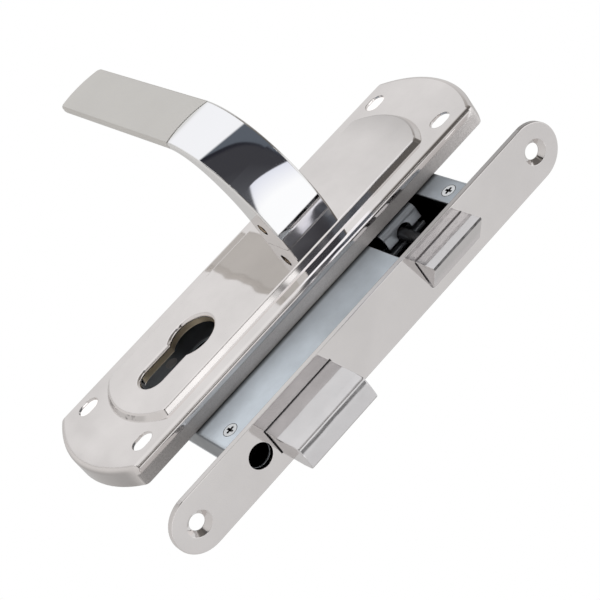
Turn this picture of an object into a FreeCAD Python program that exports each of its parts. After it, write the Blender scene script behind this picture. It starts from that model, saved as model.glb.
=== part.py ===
import FreeCAD
import Part
import Sketcher
import math
import os

# Mortise lock with a lever handle on its escutcheon plate.
# Millimetres. X points out of the forend, Z runs up along it, and the handle is on the -Y side.
# The origin is the middle of the forend's front face.

os.makedirs("parts", exist_ok=True)
doc = FreeCAD.newDocument("MortiseLock")

# Sizes
table = [
    # forend
    ("forend_length", "195"),
    ("forend_width", "22.5"),
    ("forend_thickness", "2"),
    ("forend_edge", "0.3"),
    ("end_screw_inset", "10.5"),
    ("end_screw_hole", "6"),
    ("end_screw_sink", "9.7"),
    ("retainer_drop", "57"),
    ("retainer_hole", "9.6"),
    ("retainer_well", "8"),
    ("retainer_bore", "5.6"),
    # case
    ("case_top", "63"),
    ("case_bottom", "63.5"),
    ("case_back", "77"),
    ("case_thickness", "14"),
    ("case_sheet", "1.2"),
    ("case_bend", "1.5"),
    ("window_top", "52.4"),
    ("window_bottom", "26"),
    ("window_back", "28"),
    ("far_window_back", "17"),
    ("window_corner", "1"),
    ("case_gap", "0.1"),
    # lock axes
    ("backset", "54.5"),
    ("spindle_up", "19"),
    ("plug_drop", "36.5"),
    ("profile_radius", "8.7"),
    ("profile_leg", "10.8"),
    ("profile_foot", "24.8"),
    # fixing blocks and screws
    ("block_depth", "16"),
    ("block_top_height", "9"),
    ("block_bottom_height", "10.8"),
    ("case_screw_back", "13"),
    ("upper_screw_inset", "5.6"),
    ("lower_screw_inset", "7"),
    ("case_screw_head", "5.7"),
    ("case_screw_sink", "1.1"),
    ("case_screw_thread", "3"),
    ("case_screw_length", "3.5"),
    ("case_screw_room", "0.3"),
    ("screw_recess_depth", "0.9"),
    ("screw_recess_width", "0.8"),
    ("screw_recess_span", "3"),
    ("screw_fit", "0.05"),
    # pillars and studs
    ("pillar_diameter", "7"),
    ("pillar_rivet", "4.8"),
    ("pillar_rear_inset", "10"),
    ("pillar_top_inset", "10"),
    ("pillar_bottom_inset", "17.5"),
    ("stud_diameter", "5"),
    ("stud_rivet", "3"),
    # latch
    ("latch_up", "39"),
    ("latch_height", "24.6"),
    ("latch_thickness", "13.2"),
    ("latch_throw", "10.5"),
    ("latch_heel", "5"),
    ("latch_nose", "0.8"),
    ("latch_lip", "0.6"),
    ("latch_corner", "0.8"),
    ("latch_gap", "0.35"),
    ("tail_diameter", "4.8"),
    ("tail_seat", "3"),
    ("tail_shoulder", "28"),
    ("tail_neck", "3.8"),
    ("tail_spigot", "5"),
    ("crosshead_thickness", "2.2"),
    ("crosshead_height", "13"),
    ("guide_back", "25.2"),
    ("guide_sheet", "1.2"),
    ("guide_height", "17.2"),
    ("guide_lift", "1"),
    ("guide_flange", "9"),
    ("guide_bend", "2.6"),
    ("guide_notch", "7"),
    ("guide_near_edge", "0.6"),
    ("guide_far_edge", "2.9"),
    ("latch_spring_radius", "3.1"),
    ("latch_spring_wire", "0.45"),
    # follower
    ("hub_radius", "10.5"),
    ("journal_radius", "8"),
    ("journal_gap", "0.1"),
    ("square", "8"),
    ("square_gap", "0.1"),
    ("arm_reach", "19.5"),
    ("arm_lead", "15.6"),
    ("arm_width", "8.8"),
    ("arm_nose", "2.2"),
    ("arm_gap", "0.1"),
    ("fork_slot", "5"),
    ("lower_reach", "15"),
    ("lower_lead", "15.5"),
    ("lower_nose", "2"),
    ("return_spring_radius", "2.9"),
    ("return_spring_wire", "0.45"),
    ("spring_stud_back", "33"),
    # deadbolt
    ("bolt_drop", "34.5"),
    ("bolt_height", "32.5"),
    ("bolt_thickness", "11"),
    ("bolt_throw", "19.5"),
    ("bolt_heel", "14.5"),
    ("bolt_crown", "0.5"),
    ("bolt_edge", "0.4"),
    ("bolt_nose_round", "1.3"),
    ("bolt_taper", "0.45"),
    ("bolt_taper_length", "3"),
    ("bolt_gap", "0.4"),
    ("bolt_tail_thickness", "3"),
    ("bolt_tail_seat", "10"),
    ("bolt_tail_bottom", "26.8"),
    ("bolt_tail_top", "12.5"),
    ("bolt_tooth", "6.5"),
    ("cam_notch", "9"),
    ("cam_reach", "15.4"),
    ("bolt_stud_back", "38"),
    ("bolt_stud_drop", "16.7"),
    ("bolt_stud_gap", "0.15"),
    ("bolt_rivet", "3"),
    ("bolt_rivet_pitch", "4.5"),
    ("friction_stud_back", "66"),
    ("friction_stud_drop", "6"),
    ("friction_gap", "0.3"),
    ("friction_strip", "0.6"),
    ("friction_width", "7"),
    # escutcheon plate
    ("plate_length", "194.5"),
    ("plate_width", "56"),
    ("plate_up", "1"),
    ("plate_end_radius", "46.2"),
    ("plate_corner", "2.5"),
    ("plate_edge", "2"),
    ("plate_sheet", "1.1"),
    ("plate_height", "8.3"),
    ("dome_end_margin", "21.75"),
    ("dome_side_margin", "7"),
    ("dome_end_radius", "30.5"),
    ("dome_corner", "3"),
    ("dome_height", "2.1"),
    ("dome_slope", "38"),
    ("dome_round", "0.8"),
    ("slot_end_inset", "18.75"),
    ("slot_side_inset", "8.1"),
    ("slot_length", "8.4"),
    ("slot_width", "6.4"),
    ("plate_profile_gap", "0.6"),
    ("lip_depth", "2.6"),
    ("lip_wall", "1"),
    ("lip_round", "1.2"),
    # lever
    ("lever_width", "22.5"),
    ("lever_reach", "115.5"),
    ("lever_end_radius", "32"),
    ("lever_corner", "2.5"),
    ("lever_edge", "0.8"),
    ("grip_face", "62"),
    ("grip_thickness", "4.5"),
    ("grip_back_edge", "2.5"),
    ("neck_front", "9"),
    ("neck_back", "7"),
    ("shoulder_radius", "37"),
    ("shoulder_start", "30.5"),
    ("armpit_start", "31"),
    ("armpit_radius", "20"),
    ("underside_radius", "37.6"),
    ("neck_gap", "0.15"),
    ("groove_back", "30.4"),
    ("groove_width", "0.8"),
    ("groove_depth", "0.5"),
    ("hub_neck_radius", "6.75"),
    ("hub_neck_length", "6"),
    ("socket_depth", "21.5"),
    ("grub_diameter", "5"),
    ("grub_out", "8"),
    ("grub_inset", "1.75"),
    ("grub_hex", "2.5"),
    ("grub_hex_depth", "2"),
    ("spindle_far", "40"),
    ("spindle_edge", "0.5"),
    # bush, washer and retaining ring
    ("bush_wall", "0.8"),
    ("bush_flange", "1.9"),
    ("bush_flange_thickness", "1.1"),
    ("bush_gap", "0.1"),
    ("washer_thickness", "0.8"),
    ("ring_thickness", "1"),
    ("ring_depth", "0.7"),
    ("ring_rim", "1.9"),
    ("ring_mouth", "5"),
]
sizes = doc.addObject("Spreadsheet::Sheet", "Dim")
for row, (alias, number) in enumerate(table, start=1):
    sizes.set("A%d" % row, alias)
    sizes.set("B%d" % row, number)
    sizes.setAlias("B%d" % row, alias)
doc.recompute()

# Places that several pieces share
inner = "(Dim.case_thickness / 2 - Dim.case_sheet)"
outer = "(Dim.case_thickness / 2)"
spindle_x = "(-Dim.backset)"
plate_face = "(Dim.case_thickness / 2 + Dim.plate_height)"
dome_face = "(Dim.case_thickness / 2 + Dim.plate_height + Dim.dome_height)"
neck_base = "(Dim.case_thickness / 2 + Dim.plate_height + Dim.dome_height + Dim.neck_gap)"
arm_tip_x = "(-Dim.backset + Dim.arm_reach * sin(Dim.arm_lead))"
arm_tip_z = "(Dim.spindle_up + Dim.arm_reach * cos(Dim.arm_lead))"
lower_tip_x = "(-Dim.backset - Dim.lower_reach * sin(Dim.lower_lead))"
lower_tip_z = "(Dim.spindle_up - Dim.lower_reach * cos(Dim.lower_lead))"
crosshead_x = "(-Dim.backset + Dim.arm_reach * sin(Dim.arm_lead) - Dim.arm_nose - Dim.arm_gap)"


def value(expression):
    """Number that an expression has now."""
    return float(sizes.evalExpression(expression))


def new_body(name):
    body = doc.addObject("PartDesign::Body", name)
    body.Label = name
    return body


def new_sketch(body, plane, lift="0"):
    """Sketch on one of the body's origin planes, lifted along the plane's normal."""
    sketch = body.newObject("Sketcher::SketchObject", body.Name + "Sketch")
    origin_plane = [item for item in body.Origin.OriginFeatures if item.Role == plane + "_Plane"][0]
    sketch.AttachmentSupport = [(origin_plane, "")]
    sketch.MapMode = "FlatFace"
    sketch.setExpression("AttachmentOffset.Base.z", lift)
    return sketch


def pin(sketch, geometry, end, x=None, y=None):
    """Hold one point of the sketch at two expressions, or at one of them."""
    for kind, expression, axis in (("DistanceX", x, -2), ("DistanceY", y, -1)):
        if expression is None:
            continue
        number = value(expression)
        if abs(number) < 1e-9:
            sketch.addConstraint(Sketcher.Constraint("PointOnObject", geometry, end, axis))
        else:
            index = sketch.addConstraint(Sketcher.Constraint(kind, -1, 1, geometry, end, number))
            sketch.setExpression("Constraints[%d]" % index, expression)


def arc_through(start, end, radius, turn):
    """Arc between two points with a given radius. turn is 1 for anticlockwise, -1 for clockwise,
    and 2 or -2 where the arc is longer than a half circle."""
    chord = end - start
    half = chord.Length / 2
    rise = math.sqrt(max(radius * radius - half * half, 0.0))
    left = FreeCAD.Vector(-chord.y, chord.x, 0).normalize()
    side = 1 if turn in (1, -2) else -1
    centre = start + chord * 0.5 + left * rise * side
    circle = Part.Circle(centre, FreeCAD.Vector(0, 0, 1), radius)
    first, last = (start, end) if turn > 0 else (end, start)
    return Part.ArcOfCircle(circle, circle.parameter(first), circle.parameter(last))


def outline(sketch, corners):
    """Closed outline through pinned corners (x, y). A corner (x, y, radius, turn) starts an arc,
    and a radius of None makes it a half circle."""
    points = [FreeCAD.Vector(value(corner[0]), value(corner[1]), 0) for corner in corners]
    ends = []
    for index, corner in enumerate(corners):
        start = points[index]
        stop = points[(index + 1) % len(points)]
        if len(corner) == 2:
            geometry = sketch.addGeometry(Part.LineSegment(start, stop))
            ends.append((geometry, 1, 2))
        else:
            radius = (stop - start).Length / 2 if corner[2] is None else value(corner[2])
            geometry = sketch.addGeometry(arc_through(start, stop, radius, corner[3]))
            ends.append((geometry, 1, 2) if corner[3] > 0 else (geometry, 2, 1))
    for index, corner in enumerate(corners):
        geometry, first, last = ends[index]
        previous = ends[index - 1]
        pin(sketch, geometry, first, corner[0], corner[1])
        sketch.addConstraint(Sketcher.Constraint("Coincident", previous[0], previous[2], geometry, first))
        if len(corner) == 2:
            continue
        start = points[index]
        stop = points[(index + 1) % len(points)]
        if corner[2] is not None:
            number = sketch.addConstraint(Sketcher.Constraint("Radius", geometry, value(corner[2])))
            sketch.setExpression("Constraints[%d]" % number, corner[2])
        elif abs(stop.x - start.x) > abs(stop.y - start.y):
            pin(sketch, geometry, 3, y=corner[1])
        else:
            pin(sketch, geometry, 3, x=corner[0])


def box_outline(sketch, x_low, y_low, x_high, y_high):
    outline(sketch, [(x_low, y_low), (x_high, y_low), (x_high, y_high), (x_low, y_high)])


def circle(sketch, x, y, radius):
    centre = FreeCAD.Vector(value(x), value(y), 0)
    geometry = sketch.addGeometry(Part.Circle(centre, FreeCAD.Vector(0, 0, 1), value(radius)))
    pin(sketch, geometry, 3, x, y)
    index = sketch.addConstraint(Sketcher.Constraint("Radius", geometry, value(radius)))
    sketch.setExpression("Constraints[%d]" % index, radius)


def upright_slot(sketch, x, y, length, width):
    """Slot with round ends, its long way along the sketch's upright axis."""
    low = "%s - (%s - %s) / 2" % (y, length, width)
    high = "%s + (%s - %s) / 2" % (y, length, width)
    left = "%s - %s / 2" % (x, width)
    right = "%s + %s / 2" % (x, width)
    outline(sketch, [(right, low), (right, high, None, 1), (left, high), (left, low, None, 1)])


def level_slot(sketch, x_low, x_high, y, radius):
    """Slot with round ends between two centres on a level line."""
    low = "%s - %s" % (y, radius)
    high = "%s + %s" % (y, radius)
    outline(sketch, [(x_low, low), (x_high, low, None, 1), (x_high, high), (x_low, high, None, 1)])


def profile_hole(sketch, x, y, radius, leg, foot):
    """Cylinder hole: a round part with a leg below it that ends in a half circle."""
    half = "(%s / 2)" % leg
    shoulder = "%s - sqrt(%s ^ 2 - %s ^ 2)" % (y, radius, half)
    toe = "%s - %s + %s" % (y, foot, half)
    left = "%s - %s" % (x, half)
    right = "%s + %s" % (x, half)
    outline(sketch, [(right, toe), (right, shoulder, radius, 2), (left, shoulder), (left, toe, None, 1)])


def extrude(body, kind, sketch, length, back=False, both=False):
    """Pad or pocket of a sketch by an expression, or right through where length is None."""
    before = body.Shape.Volume if body.Tip else 0.0
    feature = body.newObject("PartDesign::" + kind, body.Name + kind)
    feature.Profile = sketch
    if length is None:
        feature.Type = "ThroughAll"
    else:
        feature.setExpression("Length", length)
    feature.Midplane = both
    feature.Reversed = back
    sketch.Visibility = False
    doc.recompute()
    change = body.Shape.Volume - before
    if (change > 0) != (kind == "Pad"):
        raise ValueError("%s changes the volume by %.2f" % (feature.Name, change))
    return feature


def pad(body, sketch, length, back=False, both=False):
    return extrude(body, "Pad", sketch, length, back, both)


def pocket(body, sketch, length, back=False, both=False):
    return extrude(body, "Pocket", sketch, length, back, both)


def edges_where(body, test):
    """Names of the body's edges whose bounding box passes a test."""
    return ["Edge%d" % number for number, edge in enumerate(body.Shape.Edges, start=1)
            if test(edge.BoundBox, edge)]


def dress(body, kind, edges, size):
    """Fillet or chamfer on named edges."""
    base = body.Tip
    feature = body.newObject("PartDesign::" + kind, body.Name + kind)
    feature.Base = (base, edges)
    feature.setExpression("Radius" if kind == "Fillet" else "Size", size)
    doc.recompute()
    if not edges or "Invalid" in feature.State:
        raise ValueError("%s fails on %d edges" % (feature.Name, len(edges)))
    return feature


def near(first, second):
    return abs(first - second) < 1e-4


def upright(box):
    """Edge that runs along Y only."""
    return box.XLength < 1e-4 and box.ZLength < 1e-4


def group(name, members):
    """One node that holds several separate solids."""
    compound = doc.addObject("Part::Compound", name)
    compound.Label = name
    compound.Links = members
    doc.recompute()
    return compound


def cylinder(name, radius, height, x, y, z, direction):
    """Cylinder whose base centre and size are expressions; direction is Y or -Y."""
    solid = doc.addObject("Part::Cylinder", name)
    solid.setExpression("Radius", radius)
    solid.setExpression("Height", height)
    turn = -90 if direction == "Y" else 90
    solid.Placement = FreeCAD.Placement(FreeCAD.Vector(), FreeCAD.Rotation(FreeCAD.Vector(1, 0, 0), turn))
    for axis, expression in (("x", x), ("y", y), ("z", z)):
        solid.setExpression("Placement.Base." + axis, expression)
    return solid


nodes = []

# Forend: strip with round ends, screw holes, latch and bolt openings
forend = new_body("forend")
sketch = new_sketch(forend, "YZ")
upright_slot(sketch, "0", "0", "Dim.forend_length", "Dim.forend_width")
pad(forend, sketch, "Dim.forend_thickness", back=True)
dress(forend, "Fillet", edges_where(forend, lambda box, edge: near(box.XMin, 0) and near(box.XMax, 0)),
          "Dim.forend_edge")
sketch = new_sketch(forend, "YZ")
end_screw_up = "(Dim.forend_length / 2 - Dim.end_screw_inset)"
for side in ("", "-"):
    circle(sketch, "0", side + end_screw_up, "Dim.end_screw_hole / 2")
pocket(forend, sketch, None)
rim = value("Dim.end_screw_hole / 2")
dress(forend, "Chamfer",
          edges_where(forend, lambda box, edge: near(box.XMin, 0) and near(box.XMax, 0)
                      and near(box.YMax, rim) and near(box.YMin, -rim)),
          "(Dim.end_screw_sink - Dim.end_screw_hole) / 2")
sketch = new_sketch(forend, "YZ")
circle(sketch, "0", "-Dim.retainer_drop", "Dim.retainer_hole / 2")
latch_half = "(Dim.latch_thickness / 2 + Dim.latch_gap)"
latch_low = "(Dim.latch_up - Dim.latch_height / 2 - Dim.latch_gap)"
latch_high = "(Dim.latch_up + Dim.latch_height / 2 + Dim.latch_gap)"
box_outline(sketch, "-" + latch_half, latch_low, latch_half, latch_high)
bolt_half = "(Dim.bolt_thickness / 2 + Dim.bolt_gap)"
bolt_low = "(-Dim.bolt_drop - Dim.bolt_height / 2 - Dim.bolt_gap)"
bolt_high = "(-Dim.bolt_drop + Dim.bolt_height / 2 + Dim.bolt_gap)"
box_outline(sketch, "-" + bolt_half, bolt_low, bolt_half, bolt_high)
pocket(forend, sketch, None)
corner_y = value(latch_half)
dress(forend, "Fillet",
          edges_where(forend, lambda box, edge: box.YLength < 1e-4 and box.ZLength < 1e-4
                      and near(abs(box.YMin), corner_y) and box.ZMin > 0),
          "Dim.latch_corner + Dim.latch_gap")
nodes.append(forend)


# Case: tray with bent edges and a flat cover
def side_openings(body, window_back):
    """Holes that both sides of the case share, and the window for the latch."""
    sketch = new_sketch(body, "XZ")
    circle(sketch, spindle_x, "Dim.spindle_up", "Dim.journal_radius + Dim.journal_gap")
    profile_hole(sketch, spindle_x, "-Dim.plug_drop", "Dim.profile_radius", "Dim.profile_leg",
                 "Dim.profile_foot")
    for x, z in studs:
        circle(sketch, x, z, "Dim.stud_rivet / 2")
    pocket(body, sketch, None, both=True)
    sketch = new_sketch(body, "XZ")
    box_outline(sketch, "-" + window_back, "Dim.window_bottom", "0", "Dim.window_top")
    pocket(body, sketch, None, both=True)
    back = value("-" + window_back)
    dress(body, "Fillet",
              edges_where(body, lambda box, edge: upright(box) and near(box.XMin, back)
                          and box.ZMin > value("Dim.window_bottom") - 0.01
                          and box.ZMax < value("Dim.window_top") + 0.01),
              "Dim.window_corner")


def sunk_holes(body, places, face):
    """Countersunk screw holes through one side of the case."""
    radius = "(Dim.case_screw_head / 2 - Dim.case_screw_sink)"
    sketch = new_sketch(body, "XZ")
    for x, z in places:
        circle(sketch, x, z, radius)
    pocket(body, sketch, None, both=True)
    hole = value(radius)
    level = value(face)
    centres = [(value(x), value(z)) for x, z in places]

    def rim_of_hole(box, edge):
        middle = box.Center
        return (near(box.YMin, level) and near(box.YMax, level) and near(box.XLength, 2 * hole)
                and any(near(middle.x, x) and near(middle.z, z) for x, z in centres))
    dress(body, "Chamfer", edges_where(body, rim_of_hole), "Dim.case_screw_sink")


stop_x = "(%s - Dim.lower_nose - Dim.arm_gap - Dim.stud_diameter / 2)" % lower_tip_x
spring_stud = ("-Dim.spring_stud_back", lower_tip_z)
bolt_stud = ("-Dim.bolt_stud_back", "-Dim.bolt_stud_drop")
friction_stud = ("-Dim.friction_stud_back", "-Dim.friction_stud_drop")
studs = [(stop_x, lower_tip_z), spring_stud, bolt_stud, friction_stud]
upper_screw_z = "(Dim.case_top - Dim.upper_screw_inset)"
lower_screw_z = "(-Dim.case_bottom + Dim.lower_screw_inset)"
block_screws = [("-Dim.case_screw_back", upper_screw_z), ("-Dim.case_screw_back", lower_screw_z)]
pillar_x = "(-Dim.case_back + Dim.pillar_rear_inset)"
pillars = [(pillar_x, "(Dim.case_top - Dim.pillar_top_inset)"),
           (pillar_x, "(-Dim.case_bottom + Dim.pillar_bottom_inset)")]

tray = new_body("case_tray")
sketch = new_sketch(tray, "XZ", outer)
box_outline(sketch, "-Dim.case_back", "-Dim.case_bottom", "-Dim.forend_thickness", "Dim.case_top")
pad(tray, sketch, "Dim.case_thickness - Dim.case_sheet", back=True)
front = value("-Dim.forend_thickness")
near_face = value("-Dim.case_thickness / 2")
dress(tray, "Fillet",
          edges_where(tray, lambda box, edge: near(box.YMin, near_face) and near(box.YMax, near_face)
                      and not (near(box.XMin, front) and near(box.XMax, front))),
          "Dim.case_bend")
sketch = new_sketch(tray, "XZ", "-" + inner)
box_outline(sketch, "-Dim.case_back + Dim.case_sheet", "-Dim.case_bottom + Dim.case_sheet",
            "0", "Dim.case_top - Dim.case_sheet")
pocket(tray, sketch, "2 * " + inner, back=True)
side_openings(tray, "Dim.window_back")
sketch = new_sketch(tray, "XZ")
for x, z in pillars:
    circle(sketch, x, z, "Dim.pillar_rivet / 2")
pocket(tray, sketch, None, both=True)
sunk_holes(tray, block_screws, "-" + outer)
nodes.append(tray)

cover = new_body("case_cover")
sketch = new_sketch(cover, "XZ", "-" + outer)
box_outline(sketch, "-Dim.case_back", "-Dim.case_bottom", "-Dim.forend_thickness", "Dim.case_top")
pad(cover, sketch, "Dim.case_sheet")
side_openings(cover, "Dim.far_window_back")
sunk_holes(cover, block_screws + pillars, outer)
nodes.append(cover)


# Fixing blocks behind the forend's ends, with blind holes for the case screws
screw_hole_depth = "(Dim.case_screw_length - Dim.case_sheet + Dim.case_screw_room)"


def fixing_block(name, low, high, screw_height, bored):
    body = new_body(name)
    sketch = new_sketch(body, "XZ")
    box_outline(sketch, "-Dim.forend_thickness - Dim.block_depth", low, "-Dim.forend_thickness", high)
    pad(body, sketch, "2 * " + inner, both=True)
    for face, back in ((inner, False), ("-" + inner, True)):
        sketch = new_sketch(body, "XZ", face)
        circle(sketch, "-Dim.case_screw_back", screw_height, "Dim.case_screw_thread / 2 + Dim.screw_fit")
        pocket(body, sketch, screw_hole_depth, back=back)
    if bored:
        sketch = new_sketch(body, "YZ")
        circle(sketch, "0", "-Dim.retainer_drop", "Dim.retainer_bore / 2")
        pocket(body, sketch, None)
        sketch = new_sketch(body, "YZ", "-Dim.forend_thickness")
        circle(sketch, "0", "-Dim.retainer_drop", "Dim.retainer_hole / 2")
        pocket(body, sketch, "Dim.retainer_well")
    return body


floor_z = "(-Dim.case_bottom + Dim.case_sheet)"
ceiling_z = "(Dim.case_top - Dim.case_sheet)"
nodes.append(group("fixing_blocks", [
    fixing_block("UpperBlock", ceiling_z + " - Dim.block_top_height", ceiling_z, upper_screw_z, False),
    fixing_block("LowerBlock", floor_z, floor_z + " + Dim.block_bottom_height",
                 lower_screw_z, True),
]))


# Case screws: countersunk, cross recess
def case_screw(name, x, z, side):
    """Screw whose head lies flush in the near (-1) or far (1) side of the case."""
    inward = "Y" if side < 0 else "-Y"
    sign = "-" if side < 0 else ""
    back = "" if side < 0 else "-"
    turn = FreeCAD.Rotation(FreeCAD.Vector(1, 0, 0), -90 if side < 0 else 90)
    head = doc.addObject("Part::Cone", name + "Head")
    head.setExpression("Radius1", "Dim.case_screw_head / 2 - Dim.screw_fit")
    head.setExpression("Radius2", "Dim.case_screw_head / 2 - Dim.screw_fit - Dim.case_sheet")
    head.setExpression("Height", "Dim.case_sheet")
    head.Placement = FreeCAD.Placement(FreeCAD.Vector(), turn)
    shank = cylinder(name + "Shank", "Dim.case_screw_thread / 2", "Dim.case_screw_length",
                     x, sign + outer, z, inward)
    recess = []
    for label, wide, tall in (("Level", "Dim.screw_recess_span", "Dim.screw_recess_width"),
                              ("Upright", "Dim.screw_recess_width", "Dim.screw_recess_span")):
        bar = doc.addObject("Part::Box", name + label)
        bar.setExpression("Length", wide)
        bar.setExpression("Width", "2 * Dim.screw_recess_depth")
        bar.setExpression("Height", tall)
        bar.setExpression("Placement.Base.x", "%s - %s / 2" % (x, wide))
        bar.setExpression("Placement.Base.y", "%s%s - Dim.screw_recess_depth" % (sign, outer))
        bar.setExpression("Placement.Base.z", "%s - %s / 2" % (z, tall))
        recess.append(bar)
    for axis, expression in (("x", x), ("y", sign + outer), ("z", z)):
        head.setExpression("Placement.Base." + axis, expression)
    blank = doc.addObject("Part::MultiFuse", name + "Blank")
    blank.Shapes = [head, shank]
    cross = doc.addObject("Part::MultiFuse", name + "Cross")
    cross.Shapes = recess
    screw = doc.addObject("Part::Cut", name)
    screw.Base = blank
    screw.Tool = cross
    return screw


screws = []
for number, (x, z) in enumerate(block_screws, start=1):
    screws.append(case_screw("NearScrew%d" % number, x, z, -1))
for number, (x, z) in enumerate(block_screws + pillars, start=1):
    screws.append(case_screw("FarScrew%d" % number, x, z, 1))
nodes.append(group("case_screws", screws))


# Pillars and studs between the two sides of the case
def pillar(name, x, z):
    body = new_body(name)
    sketch = new_sketch(body, "XZ", inner)
    circle(sketch, x, z, "Dim.pillar_diameter / 2")
    pad(body, sketch, "2 * " + inner, back=True)
    sketch = new_sketch(body, "XZ", inner)
    circle(sketch, x, z, "Dim.pillar_rivet / 2")
    pad(body, sketch, "Dim.case_sheet")
    sketch = new_sketch(body, "XZ", "-" + inner)
    circle(sketch, x, z, "Dim.case_screw_thread / 2 + Dim.screw_fit")
    pocket(body, sketch, screw_hole_depth, back=True)
    return body


def stud(name, x, z):
    shank = cylinder(name + "Shank", "Dim.stud_diameter / 2", "2 * " + inner, x, "-" + inner, z, "Y")
    rivet = cylinder(name + "Rivet", "Dim.stud_rivet / 2", "Dim.case_thickness", x, "-" + outer, z, "Y")
    solid = doc.addObject("Part::MultiFuse", name)
    solid.Shapes = [shank, rivet]
    return solid


nodes.append(group("rear_pillars", [pillar("Pillar%d" % number, x, z)
                                    for number, (x, z) in enumerate(pillars, start=1)]))
nodes.append(group("case_studs", [stud("Stud%d" % number, x, z)
                                  for number, (x, z) in enumerate(studs, start=1)]))

# Latch: bevelled head, turned tail, crosshead, guide bracket and spring
latch = new_body("latch_bolt")
sketch = new_sketch(latch, "XY", "Dim.latch_up")
outline(sketch, [
    ("-Dim.latch_heel", "-Dim.latch_thickness / 2"),
    ("Dim.latch_throw", "-Dim.latch_thickness / 2"),
    ("Dim.latch_throw", "-Dim.latch_thickness / 2 + Dim.latch_nose"),
    ("Dim.latch_lip", "Dim.latch_thickness / 2"),
    ("-Dim.latch_heel", "Dim.latch_thickness / 2"),
])
pad(latch, sketch, "Dim.latch_height", both=True)
latch_side = value("Dim.latch_thickness / 2")
dress(latch, "Fillet",
          edges_where(latch, lambda box, edge: near(box.YMin, latch_side) and near(box.YMax, latch_side)
                      and near(box.ZMin, box.ZMax)),
          "Dim.latch_corner")
sketch = new_sketch(latch, "YZ", "-Dim.latch_heel")
circle(sketch, "0", "Dim.latch_up", "Dim.tail_diameter / 2 + Dim.screw_fit")
pocket(latch, sketch, "Dim.tail_seat", back=True)
nodes.append(latch)

tail = new_body("latch_tail")
sketch = new_sketch(tail, "XY", "Dim.latch_up")
tail_front = "(-Dim.latch_heel + Dim.tail_seat)"
tail_end = "(%s - Dim.crosshead_thickness - Dim.tail_spigot)" % crosshead_x
outline(sketch, [
    (tail_front, "0"),
    (tail_front, "Dim.tail_diameter / 2"),
    ("-Dim.tail_shoulder", "Dim.tail_diameter / 2"),
    ("-Dim.tail_shoulder", "Dim.tail_neck / 2"),
    (tail_end, "Dim.tail_neck / 2"),
    (tail_end, "0"),
])
turned = tail.newObject("PartDesign::Revolution", "TailTurned")
turned.Profile = sketch
turned.ReferenceAxis = (sketch, ["H_Axis"])
turned.Angle = 360
doc.recompute()
nodes.append(tail)

crosshead = new_body("latch_crosshead")
sketch = new_sketch(crosshead, "YZ", crosshead_x)
crosshead_half = "(%s - 2 * Dim.case_gap)" % inner
box_outline(sketch, "-" + crosshead_half, "Dim.latch_up - Dim.crosshead_height / 2",
            crosshead_half, "Dim.latch_up + Dim.crosshead_height / 2")
circle(sketch, "0", "Dim.latch_up", "Dim.tail_neck / 2 + Dim.screw_fit")
pad(crosshead, sketch, "Dim.crosshead_thickness", back=True)
nodes.append(crosshead)



def guide_half(name, side, web_end):
    """Bent bracket on the near (-) or far side of the case: a web across and a flange backwards."""
    body = new_body(name)
    web_front = "(-Dim.guide_back)"
    web_rear = "(-Dim.guide_back - Dim.guide_sheet)"
    flange_rear = "(-Dim.guide_back - Dim.guide_flange)"
    flange_out = side + inner
    flange_in = side + "(%s - Dim.guide_sheet)" % inner
    sketch = new_sketch(body, "XY", "Dim.latch_up + Dim.guide_lift")
    outline(sketch, [
        (web_front, web_end),
        (web_front, flange_out),
        (flange_rear, flange_out),
        (flange_rear, flange_in),
        (web_rear, flange_in),
        (web_rear, web_end),
    ])
    pad(body, sketch, "Dim.guide_height", both=True)
    for x, y, radius in ((web_front, flange_out, "Dim.guide_bend"),
                         (web_rear, flange_in, "Dim.guide_bend - Dim.guide_sheet")):
        corner_x = value(x)
        corner_y = value(y)
        dress(body, "Fillet",
              edges_where(body, lambda box, edge: near(box.XMin, corner_x) and near(box.XMax, corner_x)
                          and near(box.YMin, corner_y) and near(box.YMax, corner_y)), radius)
    return body


near_guide = guide_half("NearGuide", "-", "Dim.guide_near_edge")
sketch = new_sketch(near_guide, "YZ")
circle(sketch, "0", "Dim.latch_up + Dim.guide_lift", "Dim.guide_notch / 2")
pocket(near_guide, sketch, None, both=True)
nodes.append(group("latch_guide", [near_guide, guide_half("FarGuide", "", "Dim.guide_far_edge")]))


def coil_spring(name, x_low, x_high, z, radius, wire, turns, steps=10):
    """Coil along X from six-sided sections joined by ruled faces."""
    start = value(x_low) + wire
    length = value(x_high) - value(x_low) - 2 * wire
    height = value(z)
    sections = []
    count = int(turns * steps)
    for index in range(count + 1):
        angle = 2 * math.pi * index / steps
        middle = FreeCAD.Vector(start + length * index / count, radius * math.cos(angle),
                                height + radius * math.sin(angle))
        outward = FreeCAD.Vector(0, math.cos(angle), math.sin(angle))
        along = FreeCAD.Vector(1, 0, 0)
        ring = []
        for corner in range(6):
            share = 2 * math.pi * corner / 6
            ring.append(middle + outward * wire * math.cos(share) + along * wire * math.sin(share))
        sections.append(Part.makePolygon(ring + ring[:1]))
    spring = doc.addObject("Part::Feature", name)
    spring.Label = name
    spring.Shape = Part.makeLoft(sections, True, True)
    return spring


nodes.append(coil_spring("latch_spring", "-Dim.case_back + Dim.case_sheet + Dim.case_gap",
                         "%s - Dim.crosshead_thickness - Dim.case_gap" % crosshead_x, "Dim.latch_up",
                         value("Dim.latch_spring_radius"), value("Dim.latch_spring_wire"), 6))

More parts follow.
